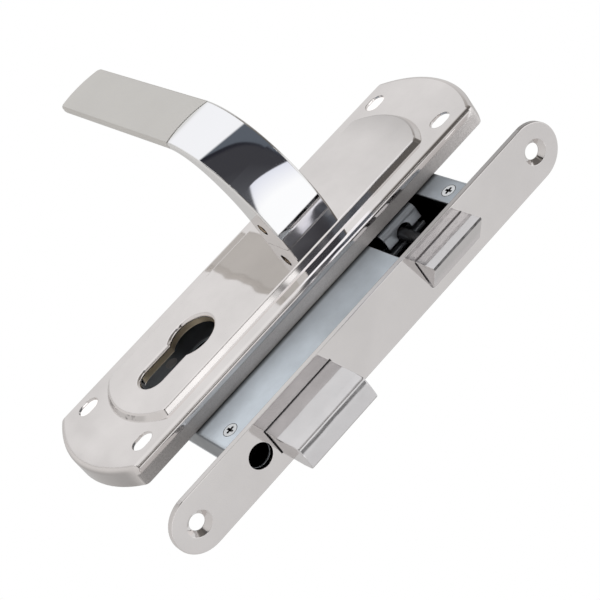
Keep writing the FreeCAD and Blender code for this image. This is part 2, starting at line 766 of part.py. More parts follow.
# Follower: hub with journals, forked upper arm and lower arm
follower = new_body("follower")
sketch = new_sketch(follower, "XZ")
circle(sketch, spindle_x, "Dim.spindle_up", "Dim.hub_radius")
pad(follower, sketch, "2 * (%s - Dim.case_gap)" % inner, both=True)
sketch = new_sketch(follower, "XZ")
circle(sketch, spindle_x, "Dim.spindle_up", "Dim.journal_radius")
pad(follower, sketch, "Dim.case_thickness", both=True)
sketch = new_sketch(follower, "XZ")
flank = "(%s - Dim.arm_nose)" % arm_tip_x
outline(sketch, [
    ("%s + Dim.hub_radius * 0.9" % spindle_x, "Dim.spindle_up"),
    ("%s + Dim.arm_nose" % arm_tip_x, arm_tip_z, None, 1),
    (flank, arm_tip_z),
    (flank, "Dim.spindle_up + Dim.hub_radius * 1.2"),
    ("%s - Dim.hub_radius * 0.3" % spindle_x, "Dim.spindle_up + Dim.hub_radius * 0.9"),
    (spindle_x, "Dim.spindle_up"),
])
pad(follower, sketch, "Dim.arm_width", both=True)
sketch = new_sketch(follower, "XZ")
outline(sketch, [
    (spindle_x, "Dim.spindle_up"),
    ("%s - Dim.hub_radius * 0.8" % spindle_x, "Dim.spindle_up"),
    ("%s - Dim.lower_nose" % lower_tip_x, lower_tip_z, None, 1),
    ("%s + Dim.lower_nose" % lower_tip_x, lower_tip_z),
    ("%s + Dim.lower_nose" % lower_tip_x, "Dim.spindle_up - Dim.hub_radius * 0.9"),
])
pad(follower, sketch, "Dim.arm_width", both=True)
sketch = new_sketch(follower, "XY", "Dim.latch_up - Dim.tail_diameter")
box_outline(sketch, flank + " - 1", "-Dim.fork_slot / 2", "%s + Dim.hub_radius + 1" % spindle_x,
            "Dim.fork_slot / 2")
pocket(follower, sketch, "Dim.tail_diameter * 2", back=True)
sketch = new_sketch(follower, "XZ")
hole_half = "(Dim.square / 2 + Dim.square_gap)"
box_outline(sketch, "%s - %s" % (spindle_x, hole_half), "Dim.spindle_up - " + hole_half,
            "%s + %s" % (spindle_x, hole_half), "Dim.spindle_up + " + hole_half)
pocket(follower, sketch, None, both=True)
nodes.append(follower)


nodes.append(coil_spring("follower_spring", "%s + Dim.lower_nose + Dim.case_gap" % lower_tip_x,
                         "-Dim.spring_stud_back - Dim.stud_diameter / 2 - Dim.case_gap", lower_tip_z,
                         value("Dim.return_spring_radius"), value("Dim.return_spring_wire"), 7))

# Friction spring of the deadbolt: a strip with an eye on its stud, resting on the tail
friction = new_body("deadbolt_spring")
eye_in = "(Dim.stud_diameter / 2 + Dim.case_gap / 2)"
eye_out = "(Dim.stud_diameter / 2 + Dim.case_gap / 2 + Dim.friction_strip)"
sketch = new_sketch(friction, "XZ")
circle(sketch, friction_stud[0], friction_stud[1], eye_out)
pad(friction, sketch, "Dim.friction_width", both=True)
sketch = new_sketch(friction, "XZ")
touch_x = "(-Dim.backset + Dim.bolt_tooth / 2)"
touch_z = "(-Dim.bolt_tail_top + Dim.friction_gap)"
eye_low = "(%s - %s)" % (friction_stud[1], eye_out)
outline(sketch, [
    (friction_stud[0], eye_low),
    (touch_x, touch_z),
    (touch_x, touch_z + " + Dim.friction_strip"),
    (friction_stud[0], eye_low + " + Dim.friction_strip"),
])
pad(friction, sketch, "Dim.friction_width", both=True)
sketch = new_sketch(friction, "XZ")
circle(sketch, friction_stud[0], friction_stud[1], eye_in)
pocket(friction, sketch, None, both=True)
nodes.append(friction)

# Deadbolt: head with a crowned nose, tail plate with cam notch and guide slot, rivets
bolt = new_body("deadbolt_head")
sketch = new_sketch(bolt, "XY", "-Dim.bolt_drop")
nose_half = "(Dim.bolt_thickness / 2 - Dim.bolt_taper)"
nose_start = "(Dim.bolt_throw - Dim.bolt_crown)"
taper_start = "(Dim.bolt_throw - Dim.bolt_crown - Dim.bolt_taper_length)"
crown_radius = "((%s ^ 2 + Dim.bolt_crown ^ 2) / (2 * Dim.bolt_crown))" % nose_half
outline(sketch, [
    ("-Dim.bolt_heel", "-Dim.bolt_thickness / 2"),
    (taper_start, "-Dim.bolt_thickness / 2"),
    (nose_start, "-" + nose_half, crown_radius, 1),
    (nose_start, nose_half),
    (taper_start, "Dim.bolt_thickness / 2"),
    ("-Dim.bolt_heel", "Dim.bolt_thickness / 2"),
])
pad(bolt, sketch, "Dim.bolt_height", both=True)
nose = value(nose_start)
dress(bolt, "Fillet",
      edges_where(bolt, lambda box, edge: near(box.XMin, nose) and near(box.XMax, nose)), "Dim.bolt_nose_round")
dress(bolt, "Fillet",
      edges_where(bolt, lambda box, edge: box.XMax > nose and box.ZLength < 1e-4), "Dim.bolt_edge")
sketch = new_sketch(bolt, "XZ")
bolt_top = "(-Dim.bolt_drop + Dim.bolt_height / 2)"
seat_half = "(Dim.bolt_tail_thickness / 2 + Dim.screw_fit)"
box_outline(sketch, "-Dim.bolt_heel - 1", "-Dim.bolt_tail_bottom - Dim.screw_fit",
            "-Dim.bolt_heel + Dim.bolt_tail_seat + Dim.screw_fit", bolt_top + " + 1")
pocket(bolt, sketch, "2 * " + seat_half, both=True)
rivets = []
for number in ("0.5", "-0.5"):
    rivets.append(("-Dim.bolt_heel + Dim.bolt_tail_seat / 2 + %s * Dim.bolt_rivet_pitch" % number,
                   "(%s - Dim.bolt_tail_bottom) / 2" % bolt_top))
sketch = new_sketch(bolt, "XZ")
for x, z in rivets:
    circle(sketch, x, z, "Dim.bolt_rivet / 2")
pocket(bolt, sketch, None, both=True)
nodes.append(bolt)

bolt_tail = new_body("deadbolt_tail")
sketch = new_sketch(bolt_tail, "XZ")
notch_middle = "(%s + Dim.bolt_throw / 2)" % spindle_x
notch_top = "(-Dim.plug_drop + Dim.cam_reach)"
outline(sketch, [
    ("-Dim.bolt_heel + Dim.bolt_tail_seat", "-Dim.bolt_tail_bottom"),
    ("-Dim.bolt_heel + Dim.bolt_tail_seat", bolt_top),
    ("-Dim.bolt_heel - Dim.case_gap", bolt_top),
    ("-Dim.bolt_heel - Dim.case_gap", "-Dim.bolt_tail_top"),
    ("%s - Dim.cam_notch / 2 - Dim.bolt_tooth" % notch_middle, "-Dim.bolt_tail_top"),
    ("%s - Dim.cam_notch / 2 - Dim.bolt_tooth" % notch_middle, "-Dim.bolt_tail_bottom"),
    ("%s - Dim.cam_notch / 2" % notch_middle, "-Dim.bolt_tail_bottom"),
    ("%s - Dim.cam_notch / 2" % notch_middle, notch_top),
    ("%s + Dim.cam_notch / 2" % notch_middle, notch_top),
    ("%s + Dim.cam_notch / 2" % notch_middle, "-Dim.bolt_tail_bottom"),
])
pad(bolt_tail, sketch, "Dim.bolt_tail_thickness", both=True)
sketch = new_sketch(bolt_tail, "XZ")
level_slot(sketch, bolt_stud[0], "%s + Dim.bolt_throw" % bolt_stud[0], bolt_stud[1],
           "(Dim.stud_diameter / 2 + Dim.bolt_stud_gap)")
for x, z in rivets:
    circle(sketch, x, z, "Dim.bolt_rivet / 2")
pocket(bolt_tail, sketch, None, both=True)
nodes.append(bolt_tail)
nodes.append(group("deadbolt_rivets", [
    cylinder("BoltRivet%d" % number, "Dim.bolt_rivet / 2", "Dim.bolt_thickness", x,
             "-Dim.bolt_thickness / 2", z, "Y") for number, (x, z) in enumerate(rivets, start=1)]))


# Escutcheon plate: one pressing with a skirt, a raised dome and a turned-in cylinder hole
def arched(sketch, width, length, end_radius):
    """Long outline with straight sides and arched ends, centred on the plate."""
    half = "(%s / 2)" % width
    rise = "(%s - sqrt(%s ^ 2 - %s ^ 2))" % (end_radius, end_radius, half)
    left = "%s - %s" % (spindle_x, half)
    right = "%s + %s" % (spindle_x, half)
    low = "Dim.plate_up - %s / 2 + %s" % (length, rise)
    high = "Dim.plate_up + %s / 2 - %s" % (length, rise)
    outline(sketch, [(right, low), (right, high, end_radius, 1), (left, high), (left, low, end_radius, 1)])


dome_width = "(Dim.plate_width - 2 * Dim.dome_side_margin)"
dome_length = "(Dim.plate_length - 2 * Dim.dome_end_margin)"
plate = new_body("escutcheon_plate")
sketch = new_sketch(plate, "XZ", outer)
arched(sketch, "Dim.plate_width", "Dim.plate_length", "Dim.plate_end_radius")
pad(plate, sketch, "Dim.plate_height")
dress(plate, "Fillet", edges_where(plate, lambda box, edge: upright(box)), "Dim.plate_corner")
sketch = new_sketch(plate, "XZ", plate_face)
arched(sketch, dome_width, dome_length, "Dim.dome_end_radius")
dome = pad(plate, sketch, "Dim.dome_height")
dome.setExpression("TaperAngle", "-Dim.dome_slope")
doc.recompute()
face_y = value("-" + plate_face)
dome_y = value("-" + dome_face)


def leaning(box, top, bottom):
    """Corner edge of a dome, from one level up to the other."""
    return (near(box.YMin, top) and near(box.YMax, bottom) and box.XLength > 1e-3
            and box.XLength < 2 * box.YLength)


dress(plate, "Fillet", edges_where(plate, lambda box, edge: leaning(box, dome_y, face_y)), "Dim.dome_corner")
dress(plate, "Fillet",
      edges_where(plate, lambda box, edge: near(box.YMin, dome_y) and near(box.YMax, dome_y)),
      "Dim.dome_round")
side_x = value("(%s + Dim.plate_width) / 4" % dome_width)
end_z = value("(%s + Dim.plate_length) / 4" % dome_length)
dress(plate, "Fillet",
      edges_where(plate, lambda box, edge: near(box.YMin, face_y) and near(box.YMax, face_y)
                  and (abs(box.Center.x - value(spindle_x)) > side_x
                       or abs(box.Center.z - value("Dim.plate_up")) > end_z)), "Dim.plate_edge")
sketch = new_sketch(plate, "XZ", outer)
arched(sketch, "(Dim.plate_width - 2 * Dim.plate_sheet)", "(Dim.plate_length - 2 * Dim.plate_sheet)",
       "(Dim.plate_end_radius - Dim.plate_sheet)")
pocket(plate, sketch, "Dim.plate_height - Dim.plate_sheet", back=True)
inner_face_y = value("-(%s - Dim.plate_sheet)" % plate_face)
inner_dome_y = value("-(%s - Dim.plate_sheet)" % dome_face)
dress(plate, "Fillet",
      edges_where(plate, lambda box, edge: upright(box) and near(box.YMax, near_face)
                  and near(box.YMin, inner_face_y)), "Dim.plate_corner - Dim.plate_sheet")
dome_inset = "(Dim.plate_sheet * (1 - sin(Dim.dome_slope)) / cos(Dim.dome_slope))"
sketch = new_sketch(plate, "XZ", "(%s - Dim.plate_sheet)" % plate_face)
arched(sketch, "(%s - 2 * %s)" % (dome_width, dome_inset), "(%s - 2 * %s)" % (dome_length, dome_inset),
       "(Dim.dome_end_radius - %s)" % dome_inset)
hollow = pocket(plate, sketch, "Dim.dome_height", back=True)
hollow.setExpression("TaperAngle", "-Dim.dome_slope")
doc.recompute()
dress(plate, "Fillet", edges_where(plate, lambda box, edge: leaning(box, inner_dome_y, inner_face_y)),
      "Dim.dome_corner - Dim.plate_sheet")
sketch = new_sketch(plate, "XZ", "(%s - Dim.plate_sheet)" % dome_face)
profile_hole(sketch, spindle_x, "-Dim.plug_drop",
             "(Dim.profile_radius + Dim.plate_profile_gap + Dim.lip_wall)",
             "(Dim.profile_leg + 2 * Dim.plate_profile_gap + 2 * Dim.lip_wall)",
             "(Dim.profile_foot + Dim.plate_profile_gap + Dim.lip_wall)")
pad(plate, sketch, "Dim.lip_depth", back=True)
sketch = new_sketch(plate, "XZ")
profile_hole(sketch, spindle_x, "-Dim.plug_drop", "(Dim.profile_radius + Dim.plate_profile_gap)",
             "(Dim.profile_leg + 2 * Dim.plate_profile_gap)", "(Dim.profile_foot + Dim.plate_profile_gap)")
pocket(plate, sketch, None, both=True)
hole_low = "(-Dim.plug_drop - Dim.profile_foot - Dim.plate_profile_gap)"
hole_high = "(-Dim.plug_drop + Dim.profile_radius + Dim.plate_profile_gap)"
edge_reach = 0.01
dome_end = "(Dim.plate_up - %s / 2)" % dome_length
# flat of the dome between the cylinder hole and the rounded end, which the hole's round stays inside
flat_below = "(%s - %s - Dim.dome_height * tan(Dim.dome_slope) - Dim.dome_round * tan(Dim.dome_slope / 2))" % (
    hole_low, dome_end)
dress(plate, "Fillet",
      edges_where(plate, lambda box, edge: near(box.YMin, dome_y) and near(box.YMax, dome_y)
                  and box.ZMin > value(hole_low) - edge_reach and box.ZMax < value(hole_high) + edge_reach),
      "min(Dim.lip_round; %s - Dim.case_gap)" % flat_below)
sketch = new_sketch(plate, "XZ")
slot_out = "(Dim.plate_width / 2 - Dim.slot_side_inset)"
slot_up = "(Dim.plate_length / 2 - Dim.slot_end_inset)"
for side in ("-", "+"):
    for end in ("-", "+"):
        upright_slot(sketch, "%s %s %s" % (spindle_x, side, slot_out),
                     "Dim.plate_up %s %s" % (end, slot_up), "Dim.slot_length", "Dim.slot_width")
bush_out = "(Dim.hub_neck_radius + Dim.bush_gap + Dim.bush_wall)"
circle(sketch, spindle_x, "Dim.spindle_up", bush_out)
pocket(plate, sketch, None, both=True)
nodes.append(plate)

# Bush, washer and retaining ring that carry the lever in the plate
dome_rear = "(%s - Dim.plate_sheet)" % dome_face
flange_rear = "(%s - Dim.bush_flange_thickness)" % dome_rear
washer_front = "(%s - Dim.bush_gap)" % flange_rear
ring_front = "(%s - Dim.washer_thickness - Dim.bush_gap)" % washer_front
hub_rear = "(%s - Dim.hub_neck_length)" % neck_base
running = "(Dim.hub_neck_radius + Dim.bush_gap)"

bush = new_body("neck_bush")
sketch = new_sketch(bush, "XZ", flange_rear)
circle(sketch, spindle_x, "Dim.spindle_up", bush_out)
pad(bush, sketch, "%s - %s" % (dome_face, flange_rear))
sketch = new_sketch(bush, "XZ", flange_rear)
circle(sketch, spindle_x, "Dim.spindle_up", "(%s + Dim.bush_flange)" % bush_out)
pad(bush, sketch, "Dim.bush_flange_thickness")
sketch = new_sketch(bush, "XZ")
circle(sketch, spindle_x, "Dim.spindle_up", running)
pocket(bush, sketch, None, both=True)
nodes.append(bush)

washer = new_body("lever_washer")
sketch = new_sketch(washer, "XZ", washer_front)
circle(sketch, spindle_x, "Dim.spindle_up", "(%s + Dim.bush_flange)" % bush_out)
circle(sketch, spindle_x, "Dim.spindle_up", running)
pad(washer, sketch, "Dim.washer_thickness", back=True)
nodes.append(washer)

ring = new_body("retaining_ring")
sketch = new_sketch(ring, "XZ", ring_front)
circle(sketch, spindle_x, "Dim.spindle_up", "(Dim.hub_neck_radius + Dim.ring_rim)")
circle(sketch, spindle_x, "Dim.spindle_up", "(Dim.hub_neck_radius - Dim.ring_depth + Dim.screw_fit)")
pad(ring, sketch, "Dim.ring_thickness", back=True)
sketch = new_sketch(ring, "XZ")
box_outline(sketch, "%s - Dim.ring_mouth / 2" % spindle_x, "Dim.spindle_up",
            "%s + Dim.ring_mouth / 2" % spindle_x, "Dim.spindle_up + Dim.hub_neck_radius + Dim.ring_rim + 1")
pocket(ring, sketch, None, both=True)
nodes.append(ring)

# Lever: neck that sweeps into a flat grip, with a groove all round between them
lever = new_body("lever_handle")
sketch = new_sketch(lever, "XY", "Dim.spindle_up")
neck_front = "(%s + Dim.neck_front)" % spindle_x
neck_rear = "(%s - Dim.neck_back)" % spindle_x
lever_end = "(%s - Dim.lever_reach)" % spindle_x
grip_rear = "(Dim.grip_face - Dim.grip_thickness)"
shoulder_x = "(%s - Dim.shoulder_start)" % spindle_x
armpit_x = "(%s - Dim.armpit_start)" % spindle_x


def point(x, y):
    return FreeCAD.Vector(x, y, 0)


base_y = value("-" + neck_base)
front_x = value(neck_front)
rear_x = value(neck_rear)
face = value("-Dim.grip_face")
rear = value("-" + grip_rear)
end_x = value(lever_end)
shoulder = value("Dim.shoulder_radius")
across = front_x - value(shoulder_x)
drop = base_y - (face + shoulder)
sweep = (across ** 2 + drop ** 2 - shoulder ** 2) / (2 * (across - shoulder))
lean = math.atan2(drop, across - sweep)
join = point(value(shoulder_x) + shoulder * -math.cos(lean), face + shoulder - shoulder * math.sin(lean))
armpit = value("Dim.armpit_radius")
underside = value("Dim.underside_radius")
inset = value(armpit_x) - (rear_x - underside)
rise = math.sqrt((underside - armpit) ** 2 - inset ** 2)
under_y = rear + armpit + rise
meet = point(value(armpit_x) + armpit * inset / (underside - armpit),
             rear + armpit - armpit * rise / (underside - armpit))
up = FreeCAD.Vector(0, 0, 1)


def lever_arc(centre, radius, first, last):
    ring_curve = Part.Circle(centre, up, radius)
    return Part.ArcOfCircle(ring_curve, ring_curve.parameter(first), ring_curve.parameter(last))


side_curves = [
    ("base", Part.LineSegment(point(rear_x, base_y), point(front_x, base_y))),
    ("front", lever_arc(point(front_x - sweep, base_y), sweep, join, point(front_x, base_y))),
    ("shoulder", lever_arc(point(value(shoulder_x), face + shoulder), shoulder,
                           point(value(shoulder_x), face), join)),
    ("face", Part.LineSegment(point(value(shoulder_x), face), point(end_x, face))),
    ("end", Part.LineSegment(point(end_x, face), point(end_x, rear))),
    ("rear", Part.LineSegment(point(end_x, rear), point(value(armpit_x), rear))),
    ("armpit", lever_arc(point(value(armpit_x), rear + armpit), armpit,
                         point(value(armpit_x), rear), meet)),
    ("underside", lever_arc(point(rear_x - underside, under_y), underside, meet, point(rear_x, under_y))),
    ("flank", Part.LineSegment(point(rear_x, under_y), point(rear_x, base_y))),
]
curve = {}
for name, item in side_curves:
    curve[name] = sketch.addGeometry(item)
first, last, centre = range(1, 4)
pin(sketch, curve["base"], first, neck_rear, "-" + neck_base)
pin(sketch, curve["base"], last, neck_front, "-" + neck_base)
meetings = [
    ("base", last, "front", last, "Coincident"),
    ("front", first, "shoulder", last, "Tangent"),
    ("shoulder", first, "face", first, "Tangent"),
    ("face", last, "end", first, "Coincident"),
    ("end", last, "rear", first, "Coincident"),
    ("rear", last, "armpit", first, "Tangent"),
    ("armpit", last, "underside", first, "Tangent"),
    ("underside", last, "flank", first, "Tangent"),
    ("flank", last, "base", first, "Coincident"),
]
for one, one_end, other, other_end, kind in meetings:
    sketch.addConstraint(Sketcher.Constraint(kind, curve[one], one_end, curve[other], other_end))
pin(sketch, curve["front"], centre, y="-" + neck_base)
pin(sketch, curve["shoulder"], first, shoulder_x, "-Dim.grip_face")
pin(sketch, curve["face"], last, lever_end, "-Dim.grip_face")
pin(sketch, curve["end"], last, lever_end, "-" + grip_rear)
pin(sketch, curve["rear"], last, armpit_x, "-" + grip_rear)
sketch.addConstraint(Sketcher.Constraint("Vertical", curve["flank"]))
for name in ("shoulder", "armpit", "underside"):
    radius = "Dim.%s_radius" % name
    index = sketch.addConstraint(Sketcher.Constraint("Radius", curve[name], value(radius)))
    sketch.setExpression("Constraints[%d]" % index, radius)
doc.recompute()
pad(lever, sketch, "Dim.lever_width", both=True)


def bowed(sketch, x_low, x_high):
    """Strip across the lever between two bowed edges."""
    reach_out = "(Dim.lever_width / 2 + 1)"
    bow = "(Dim.lever_end_radius - sqrt(Dim.lever_end_radius ^ 2 - %s ^ 2))" % reach_out
    low = "Dim.spindle_up - " + reach_out
    high = "Dim.spindle_up + " + reach_out
    outline(sketch, [
        ("%s + %s" % (x_low, bow), low),
        ("%s + %s" % (x_high, bow), low, "Dim.lever_end_radius", -1),
        ("%s + %s" % (x_high, bow), high),
        ("%s + %s" % (x_low, bow), high, "Dim.lever_end_radius", 1),
    ])


sketch = new_sketch(lever, "XZ")
bowed(sketch, "(%s - Dim.lever_width)" % lever_end, lever_end)
pocket(lever, sketch, None, both=True)
tip = value("%s + Dim.lever_width / 4" % lever_end)
dress(lever, "Fillet",
          edges_where(lever, lambda box, edge: upright(box) and box.XMax < tip), "Dim.lever_corner")
rear_y = value("-" + grip_rear)
dress(lever, "Fillet",
          edges_where(lever, lambda box, edge: near(box.YMin, rear_y) and near(box.YMax, rear_y)
                      and box.XMax < tip), "Dim.grip_back_edge")
low_side = value("Dim.spindle_up - Dim.lever_width / 2")
high_side = value("Dim.spindle_up + Dim.lever_width / 2")
dress(lever, "Fillet",
          edges_where(lever, lambda box, edge: near(box.ZMin, box.ZMax) and not near(box.YMax, base_y)
                      and (near(box.ZMin, low_side) or near(box.ZMin, high_side))), "Dim.lever_edge")

groove = new_body("LeverGroove")
sketch = new_sketch(groove, "XZ", "(Dim.grip_face + 1)")
bowed(sketch, "(%s - Dim.groove_back - Dim.groove_width / 2)" % spindle_x,
      "(%s - Dim.groove_back + Dim.groove_width / 2)" % spindle_x)
pad(groove, sketch, "Dim.grip_thickness + 2", back=True)
sketch = new_sketch(groove, "YZ")
core_half = "(Dim.lever_width / 2 - Dim.groove_depth)"
box_outline(sketch, "-Dim.grip_face + Dim.groove_depth", "Dim.spindle_up - " + core_half,
            "-%s - Dim.groove_depth" % grip_rear, "Dim.spindle_up + " + core_half)
pocket(groove, sketch, None, both=True)
cut = lever.newObject("PartDesign::Boolean", "GrooveCut")
cut.Type = "Cut"
cut.Group = [groove]
doc.recompute()

sketch = new_sketch(lever, "XZ", neck_base)
circle(sketch, spindle_x, "Dim.spindle_up", "Dim.hub_neck_radius")
pad(lever, sketch, "Dim.hub_neck_length", back=True)
sketch = new_sketch(lever, "XZ", "(%s + Dim.case_gap / 2)" % ring_front)
circle(sketch, spindle_x, "Dim.spindle_up", "(Dim.hub_neck_radius + 1)")
circle(sketch, spindle_x, "Dim.spindle_up", "(Dim.hub_neck_radius - Dim.ring_depth)")
pocket(lever, sketch, "Dim.ring_thickness + Dim.case_gap")
sketch = new_sketch(lever, "XZ", hub_rear)
box_outline(sketch, "%s - %s" % (spindle_x, hole_half), "Dim.spindle_up - " + hole_half,
            "%s + %s" % (spindle_x, hole_half), "Dim.spindle_up + " + hole_half)
pocket(lever, sketch, "Dim.socket_depth", back=True)
grub_y = "(-%s - Dim.grub_out)" % dome_face
lever_low = "(Dim.spindle_up - Dim.lever_width / 2)"
sketch = new_sketch(lever, "XY", "Dim.spindle_up")
circle(sketch, spindle_x, grub_y, "(Dim.grub_diameter / 2 + Dim.screw_fit)")
pocket(lever, sketch, None)
nodes.append(lever)

grub = new_body("grub_screw")
grub_tip = "(Dim.spindle_up - Dim.square / 2)"
sketch = new_sketch(grub, "XY", grub_tip)
circle(sketch, spindle_x, grub_y, "Dim.grub_diameter / 2")
pad(grub, sketch, "%s - Dim.grub_inset - %s" % (grub_tip, lever_low), back=True)
sketch = new_sketch(grub, "XY", "(%s + Dim.grub_inset)" % lever_low)
hex_corner = "(Dim.grub_hex / 2 / cos(30))"
outline(sketch, [("%s + %s * %s" % (spindle_x, hex_corner, across), "%s + %s * %s" % (grub_y, hex_corner, along))
                 for across, along in (("1", "0"), ("0.5", "cos(30)"), ("-0.5", "cos(30)"), ("-1", "0"),
                                       ("-0.5", "-cos(30)"), ("0.5", "-cos(30)"))])
pocket(grub, sketch, "Dim.grub_hex_depth", back=True)
nodes.append(grub)

spindle = new_body("square_spindle")
sketch = new_sketch(spindle, "XZ", "(%s + Dim.socket_depth - Dim.case_gap)" % hub_rear)
box_outline(sketch, "%s - Dim.square / 2" % spindle_x, "Dim.spindle_up - Dim.square / 2",
            "%s + Dim.square / 2" % spindle_x, "Dim.spindle_up + Dim.square / 2")
pad(spindle, sketch, "%s + Dim.socket_depth - Dim.case_gap + Dim.spindle_far" % hub_rear, back=True)
dress(spindle, "Chamfer", edges_where(spindle, lambda box, edge: box.YLength < 1e-4), "Dim.spindle_edge")
nodes.append(spindle)

# Check and write every node
doc.recompute()
for item in doc.Objects:
    if "Invalid" in item.State or "Error" in item.State:
        raise ValueError("%s is not valid: %s" % (item.Label, item.State))
for node in nodes:
    shape = node.Shape
    if shape.isNull() or not shape.isValid() or not shape.Solids:
        raise ValueError("%s has no valid solid" % node.Label)
    shape.exportStep("parts/%s.step" % node.Label)
    print(node.Label, len(shape.Solids), round(shape.Volume, 1))
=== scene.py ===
import math

import bpy
from mathutils import Matrix, Vector


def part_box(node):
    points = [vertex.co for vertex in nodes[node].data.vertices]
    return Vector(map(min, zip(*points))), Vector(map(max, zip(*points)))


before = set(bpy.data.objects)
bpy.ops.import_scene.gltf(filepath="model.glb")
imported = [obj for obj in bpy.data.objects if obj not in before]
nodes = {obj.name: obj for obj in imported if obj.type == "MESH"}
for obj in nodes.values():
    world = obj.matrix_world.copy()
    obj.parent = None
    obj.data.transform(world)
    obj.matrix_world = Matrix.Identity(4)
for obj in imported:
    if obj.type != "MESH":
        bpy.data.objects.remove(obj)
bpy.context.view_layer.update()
print("frame loaded,", len(nodes), "nodes")
bpy.ops.object.select_all(action="DESELECT")


# small helpers for node trees

def addNode(tree, kind, **settings):
    node = tree.nodes.new(kind)
    for name, value in settings.items():
        if name in node.inputs:
            node.inputs[name].default_value = value
        else:
            setattr(node, name, value)
    return node


def addMath(tree, operation, first, second=None):
    node = tree.nodes.new("ShaderNodeMath")
    node.operation = operation
    for socket, value in zip(node.inputs, (first, second)):
        if value is None:
            continue
        if isinstance(value, (int, float)):
            socket.default_value = value
        else:
            tree.links.new(value, socket)
    return node.outputs[0]


def addMix(tree, factor, first, second):
    node = tree.nodes.new("ShaderNodeMix")
    node.data_type = "RGBA"
    for socket, value in ((node.inputs[0], factor), (node.inputs[6], first), (node.inputs[7], second)):
        if isinstance(value, (int, float, tuple)):
            socket.default_value = value
        else:
            tree.links.new(value, socket)
    return node.outputs[2]


def addRamp(tree, factor, stops):
    node = tree.nodes.new("ShaderNodeValToRGB")
    elements = node.color_ramp.elements
    while len(elements) < len(stops):
        elements.new(0.5)
    for element, (place, level) in zip(elements, stops):
        element.position = place
        element.color = level if isinstance(level, tuple) else (level, level, level, 1)
    tree.links.new(factor, node.inputs[0])
    return node.outputs[0]


def addRange(tree, value, low, high):
    node = tree.nodes.new("ShaderNodeMapRange")
    tree.links.new(value, node.inputs["Value"])
    node.inputs["To Min"].default_value = low
    node.inputs["To Max"].default_value = high
    return node.outputs["Result"]


# smooth step from 0 at the first bound to 1 at the second, whichever of them is the higher
def addStep(tree, value, none, full):
    node = tree.nodes.new("ShaderNodeMapRange")
    node.interpolation_type = "SMOOTHSTEP"
    tree.links.new(value, node.inputs["Value"])
    node.inputs["From Min"].default_value = none
    node.inputs["From Max"].default_value = full
    return node.outputs["Result"]


# the same step, its bounds counted from a face of the piece
def addStepFrom(tree, value, face, bounds):
    return addStep(tree, value, face + bounds[0], face + bounds[1])


# 1 between two bounds, 0 outside them
def addBand(tree, value, low, high, soft):
    rising = addStep(tree, value, low - soft, low + soft)
    falling = addStep(tree, value, high - soft, high + soft)
    return addMath(tree, "SUBTRACT", rising, falling)


def addProduct(tree, *factors):
    product = factors[0]
    for factor in factors[1:]:
        product = addMath(tree, "MULTIPLY", product, factor)
    return product


def addSum(tree, *parts):
    total = parts[0]
    for part in parts[1:]:
        total = addMath(tree, "ADD", total, part)
    return total


# 1 where the mask is 0, and 0 where it is 1
def addInverse(tree, mask):
    return addMath(tree, "SUBTRACT", 1.0, mask)


def addNoise(tree, place, scale):
    noise = addNode(tree, "ShaderNodeTexNoise", Scale=scale, Detail=2.0)
    tree.links.new(place, noise.inputs["Vector"])
    return noise.outputs["Fac"]


# node groups that several finishes share

groupLook = {"samples": 8, "edgeNoise": 900.0, "edgeBreak": (0.5, 1.3), "skinDepths": (0.0002, 0.0011),
             "openness": (0.85, 0.35)}


def newGroup(name, inputs, outputs):
    group = bpy.data.node_groups.new(name, "ShaderNodeTree")
    for label, kind, value in inputs:
        socket = group.interface.new_socket(name=label, in_out="INPUT", socket_type=kind)
        if value is not None:
            socket.default_value = value
    for label, kind in outputs:
        group.interface.new_socket(name=label, in_out="OUTPUT", socket_type=kind)
    return group, group.nodes.new("NodeGroupInput"), group.nodes.new("NodeGroupOutput")


# fine polishing lines, slow ripple and patchy gloss
def buildPolishGroup():
    group, start, end = newGroup(
        "polishGrain",
        [("Vector", "NodeSocketVector", None), ("Line Scale", "NodeSocketVector", (4000, 4000, 60)),
         ("Ripple Scale", "NodeSocketFloat", 70.0), ("Patch Scale", "NodeSocketFloat", 35.0)],
        [("Lines", "NodeSocketFloat"), ("Ripple", "NodeSocketFloat"), ("Patches", "NodeSocketFloat")])
    links = group.links
    stretch = addNode(group, "ShaderNodeVectorMath", operation="MULTIPLY")
    links.new(start.outputs["Vector"], stretch.inputs[0])
    links.new(start.outputs["Line Scale"], stretch.inputs[1])
    lines = addNode(group, "ShaderNodeTexNoise", Scale=1.0, Detail=3.0, Roughness=0.6)
    links.new(stretch.outputs[0], lines.inputs["Vector"])
    ripple = addNode(group, "ShaderNodeTexNoise", Detail=1.0, Roughness=0.4)
    links.new(start.outputs["Vector"], ripple.inputs["Vector"])
    links.new(start.outputs["Ripple Scale"], ripple.inputs["Scale"])
    patches = addNode(group, "ShaderNodeTexNoise", Detail=4.0, Roughness=0.62)
    links.new(start.outputs["Vector"], patches.inputs["Vector"])
    links.new(start.outputs["Patch Scale"], patches.inputs["Scale"])
    links.new(lines.outputs["Fac"], end.inputs["Lines"])
    links.new(ripple.outputs["Fac"], end.inputs["Ripple"])
    links.new(patches.outputs["Fac"], end.inputs["Patches"])
    return group


